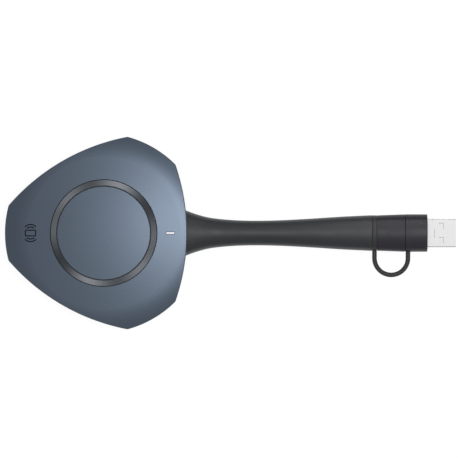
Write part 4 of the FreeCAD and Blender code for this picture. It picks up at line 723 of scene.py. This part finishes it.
def make_band():
    """The flat band of the tether, closed round the grip's neck."""
    turns = oval_turns()
    width, height = TAIL_STATIONS[-1][1:]
    profile = [(0.0, BAND_ROUNDING), (BAND_ROUNDING * 0.3, BAND_ROUNDING * 0.3), (BAND_ROUNDING, 0.0)]
    outer = [(BAND_SPAN[0] + along, inward) for along, inward in profile]
    outer += [(BAND_SPAN[1] - along, inward) for along, inward in reversed(profile)]
    inner = BAND_THICKNESS - 0.05
    section = outer + [(x, inner) for x in reversed(BAND_SPAN)]
    rings = [oval_ring(x, width - inward, height - inward, turns) for x, inward in section]
    band = skin("tether_band", (rings, True))
    dress(band, TETHER_RUBBER)
    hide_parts("tether_strap")
    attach(band, "plug_end")


def make_loop():
    """The half-round loop. Its far foot spreads to fill the mouth of its hole in the adapter.

    Each place of its line has the direction in which the line runs there,
    and how much the loop is spread.
    """
    near, far = LOOP_LEGS
    bend = (far - near) / 2
    root = TAIL_STATIONS[-1][1] - 0.6
    line = [(near, -y, (0, -1), 0.0) for y in steps(root, LOOP_BEND_START, 0.35)[:-1]]
    for turn in range(0, 181, 4):
        angle = math.radians(180 + turn)
        line.append((near + bend + bend * math.cos(angle), bend * math.sin(angle) - LOOP_BEND_START,
                     (-math.sin(angle), math.cos(angle)), 0.0))
    mouth = steps(ADAPTER_HALF_WIDTH, ADAPTER_HALF_WIDTH + 4 * FOOT_FADE, 0.08)
    for y in reversed([LOOP_FOOT] + mouth + steps(mouth[-1] + 0.4, LOOP_BEND_START, 0.5)[:-1]):
        spread = FOOT_SPREAD * math.exp(-max(y - ADAPTER_HALF_WIDTH, 0) / FOOT_FADE)
        line.append((far + spread, -y, (0, 1), spread))
    rings = []
    for x, y, (along_x, along_y), spread in line:
        radius = LOOP_RADIUS + spread
        ring = []
        for turn in range(0, 360, 12):
            angle = math.radians(turn)
            side = radius * math.cos(angle)
            ring.append((x - side * along_y, y + side * along_x, AXIS + radius * math.sin(angle)))
        rings.append(ring)
    loop = skin("tether_loop", (rings, False))
    dress(loop, TETHER_RUBBER)
    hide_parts("tether_strap")
    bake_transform(loop)


make_band()
make_loop()


# The foot pad


def make_pad():
    """The rubber foot, with the outline of its solid, a soft edge and a shallow border groove."""
    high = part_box("anti_slip_pad")[1]
    top = [vertex.co for vertex in NODES["anti_slip_pad"].data.vertices if vertex.co.z > high.z - 1e-5]
    around = sorted({(round(math.atan2(c.y, c.x), 4), round(c.x, 6), round(c.y, 6)) for c in top})
    outline = []
    for number, (turn, x, y) in enumerate(around):
        if number == 0 or turn - around[number - 1][0] > 0.002:
            outline.append((x / MM, y / MM))
    rings = []
    for inward, z in PAD_PROFILE + ((0.0, high.z / MM),):
        ring = []
        for x, y in outline:
            kept = 1 - inward / math.hypot(x, y)
            ring.append((x * kept, y * kept, z))
        rings.append(ring)
    foot = skin("foot_pad", (rings, False))
    dress(foot, PAD_RUBBER)
    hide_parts("anti_slip_pad")
    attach(foot, "puck")


make_pad()


# The painted shade in the ring's gaps


def make_gap_shade():
    """Painted shade: grey bands on the ring's ledge, which fill its gaps so that they show as darker lines
    on both sides of the ring.
    """
    bands = []
    for inner, outer, top in GAP_SHADE_BANDS:
        section = ((inner, top), (outer, top), (outer, GAP_SHADE_FOOT), (inner, GAP_SHADE_FOOT))
        rings = []
        for turn in range(0, 360, 3):
            angle = math.radians(turn)
            rings.append([(reach * math.cos(angle), reach * math.sin(angle), z) for reach, z in section])
        bands.append((rings, True))
    gap_shade_piece = skin("ring_gap_shade", *bands)
    dress(gap_shade_piece, GAP_SHADE_GREY)
    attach(gap_shade_piece, "puck")


make_gap_shade()


# Thin marks: the printed symbol, the painted shade line round the lamp window and the joints of the large
# plug's shell


def crown_height(x, y):
    """The dome's height over the floor."""
    return PUCK_HEIGHT - CROWN_RADIUS + math.sqrt(CROWN_RADIUS ** 2 - x * x - y * y)


def drawn_lines(name, strokes, width, face_height, low, high):
    """A piece of thin lines on a face, from low under it to high over it.

    Each stroke is its points and whether it closes.
    """
    tubes = []
    for stroke, closed in strokes:
        count = len(stroke)
        rings = []
        for number, (x, y) in enumerate(stroke):
            before = stroke[(number - 1) % count] if closed or number else stroke[number]
            after = stroke[(number + 1) % count] if closed or number < count - 1 else stroke[number]
            along = Vector((after[0] - before[0], after[1] - before[1])).normalized()
            ring = []
            for side, lift in ((width / 2, low), (width / 2, high), (-width / 2, high), (-width / 2, low)):
                px = x - along.y * side
                py = y + along.x * side
                ring.append((px, py, face_height(px, py) + lift))
            rings.append(ring)
        tubes.append((rings, closed))
    return skin(name, *tubes)


def arc_points(centre_x, centre_y, radius, first, last, count):
    """Points on an arc between two directions in degrees."""
    points = []
    for number in range(count + 1):
        angle = math.radians(first + (last - first) * number / count)
        points.append((centre_x + radius * math.cos(angle), centre_y + radius * math.sin(angle)))
    return points


def rounded_box(middle, half_x, half_y, corner):
    """The outline of a rectangle with round corners, centred on the tail's axis."""
    outline = []
    for sign_x, sign_y, first in ((1, 1, 0), (-1, 1, 90), (-1, -1, 180), (1, -1, 270)):
        outline += arc_points(middle + sign_x * (half_x - corner), sign_y * (half_y - corner), corner,
                              first, first + 90, 4)
    return outline


def make_symbol():
    """The dark print of a handset with two radio arcs on both sides, and a dark line of painted shade round
    the lamp window, for the gap round the light pipe.
    """
    symbol = [(rounded_box(SYMBOL_X, *HANDSET_HALVES, HANDSET_CORNER), True)]
    for tip_x, tip_y, peak in RADIO_ARCS:
        rise = peak - tip_y
        radius = (tip_x ** 2 + rise ** 2) / (2 * rise)
        half = math.degrees(math.asin(tip_x / radius))
        for side in (1, -1):
            symbol.append((arc_points(SYMBOL_X, side * (peak - radius), radius, side * (90 - half),
                                      side * (90 + half), 14), False))
    # Painted shade: a dark line round the lamp window, standing for the gap round the light pipe
    border = [(rounded_box(LAMP_X, *LAMP_HALVES, LAMP_CORNER), True)]
    material, tree, shader = finish("pad-printed ink and gap shade", "#0A1122", 0.7,
                                    {"IOR": 1.5, "Specular IOR Level": 0.1})
    where = add_node(tree, "TexCoord").outputs["Object"]
    dots = add_node(tree, "TexNoise", sockets={"Vector": where, "Scale": per_metre(0.3), "Detail": 2.0})
    tone = add_node(tree, "Mix", {"data_type": "RGBA"},
                    {0: dots.outputs["Fac"], 6: linear("#070D1C"), 7: linear("#0F162A")})
    tree.links.new(tone.outputs[2], shader.inputs["Base Color"])
    for name, lines, width in (("symbol_print", symbol, SYMBOL_LINE), ("lamp_gap_shade", border, LAMP_LINE)):
        cover_mark = drawn_lines(name, lines, width, crown_height, -PRINT_HEIGHT, PRINT_HEIGHT)
        cover_mark.data.materials.append(material)
        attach(cover_mark, "puck")


def make_shell_joints():
    """The pressed crimp on the large plug's face and the interlocked seam on its underside."""
    crimp = drawn_lines("shell_crimp", [(CRIMP, False)], CRIMP_LINE,
                        lambda x, y: AXIS + USB_HALF_HEIGHT, -JOINT_HEIGHT, JOINT_HEIGHT)
    seam = drawn_lines("shell_seam", [(SEAM, False)], SEAM_LINE,
                       lambda x, y: AXIS - USB_HALF_HEIGHT, -JOINT_HEIGHT, JOINT_HEIGHT)
    material, tree, shader = finish("shaded steel joint", "#B0B0AF", 0.6, {"Metallic": 1.0})
    where = add_node(tree, "TexCoord").outputs["Object"]
    dust = add_node(tree, "TexNoise", sockets={"Vector": where, "Scale": per_metre(0.4), "Detail": 2.0})
    tone = add_node(tree, "Mix", {"data_type": "RGBA"},
                    {0: dust.outputs["Fac"], 6: linear("#A2A2A1"), 7: linear("#BEBEBD")})
    tree.links.new(tone.outputs[2], shader.inputs["Base Color"])
    for mark in (crimp, seam):
        mark.data.materials.append(material)
        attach(mark, "adapter")


def make_latch_tabs():
    """The spring tabs that nearly fill the large plug's latch windows.

    They leave a narrow gap on two sides, which shows as a thin line.
    """
    top = AXIS + USB_HALF_HEIGHT - TAB_SUNK
    start, end = TAB_SPAN
    for name, low_y in (("latch_tab_left", 1.76), ("latch_tab_right", -4.24)):
        high_y = low_y + TAB_WIDTH
        ring = [(start, low_y), (end, low_y), (end, high_y), (start, high_y)]
        tab = skin(name, ([[(x, y, z) for x, y in ring] for z in (top - TAB_THICKNESS, top)], False))
        dress(tab, NICKEL)
        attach(tab, "adapter")


def make_seam_shade():
    """Painted shade: a thin black ring on the step of the grip's front, which makes the seam before the
    adapter dark.
    """
    turns = oval_turns()
    rings = [oval_ring(x, *SEAM_SHADE_OUTER_HALVES, turns) for x in SEAM_SHADE_SPAN]
    rings += [oval_ring(x, *SEAM_SHADE_INNER_HALVES, turns) for x in reversed(SEAM_SHADE_SPAN)]
    seam_shade_piece = skin("seam_shade", (rings, True))
    dress(seam_shade_piece, SEAM_SHADE_BLACK)
    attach(seam_shade_piece, "plug_end")


make_symbol()
make_shell_joints()
make_latch_tabs()
make_seam_shade()
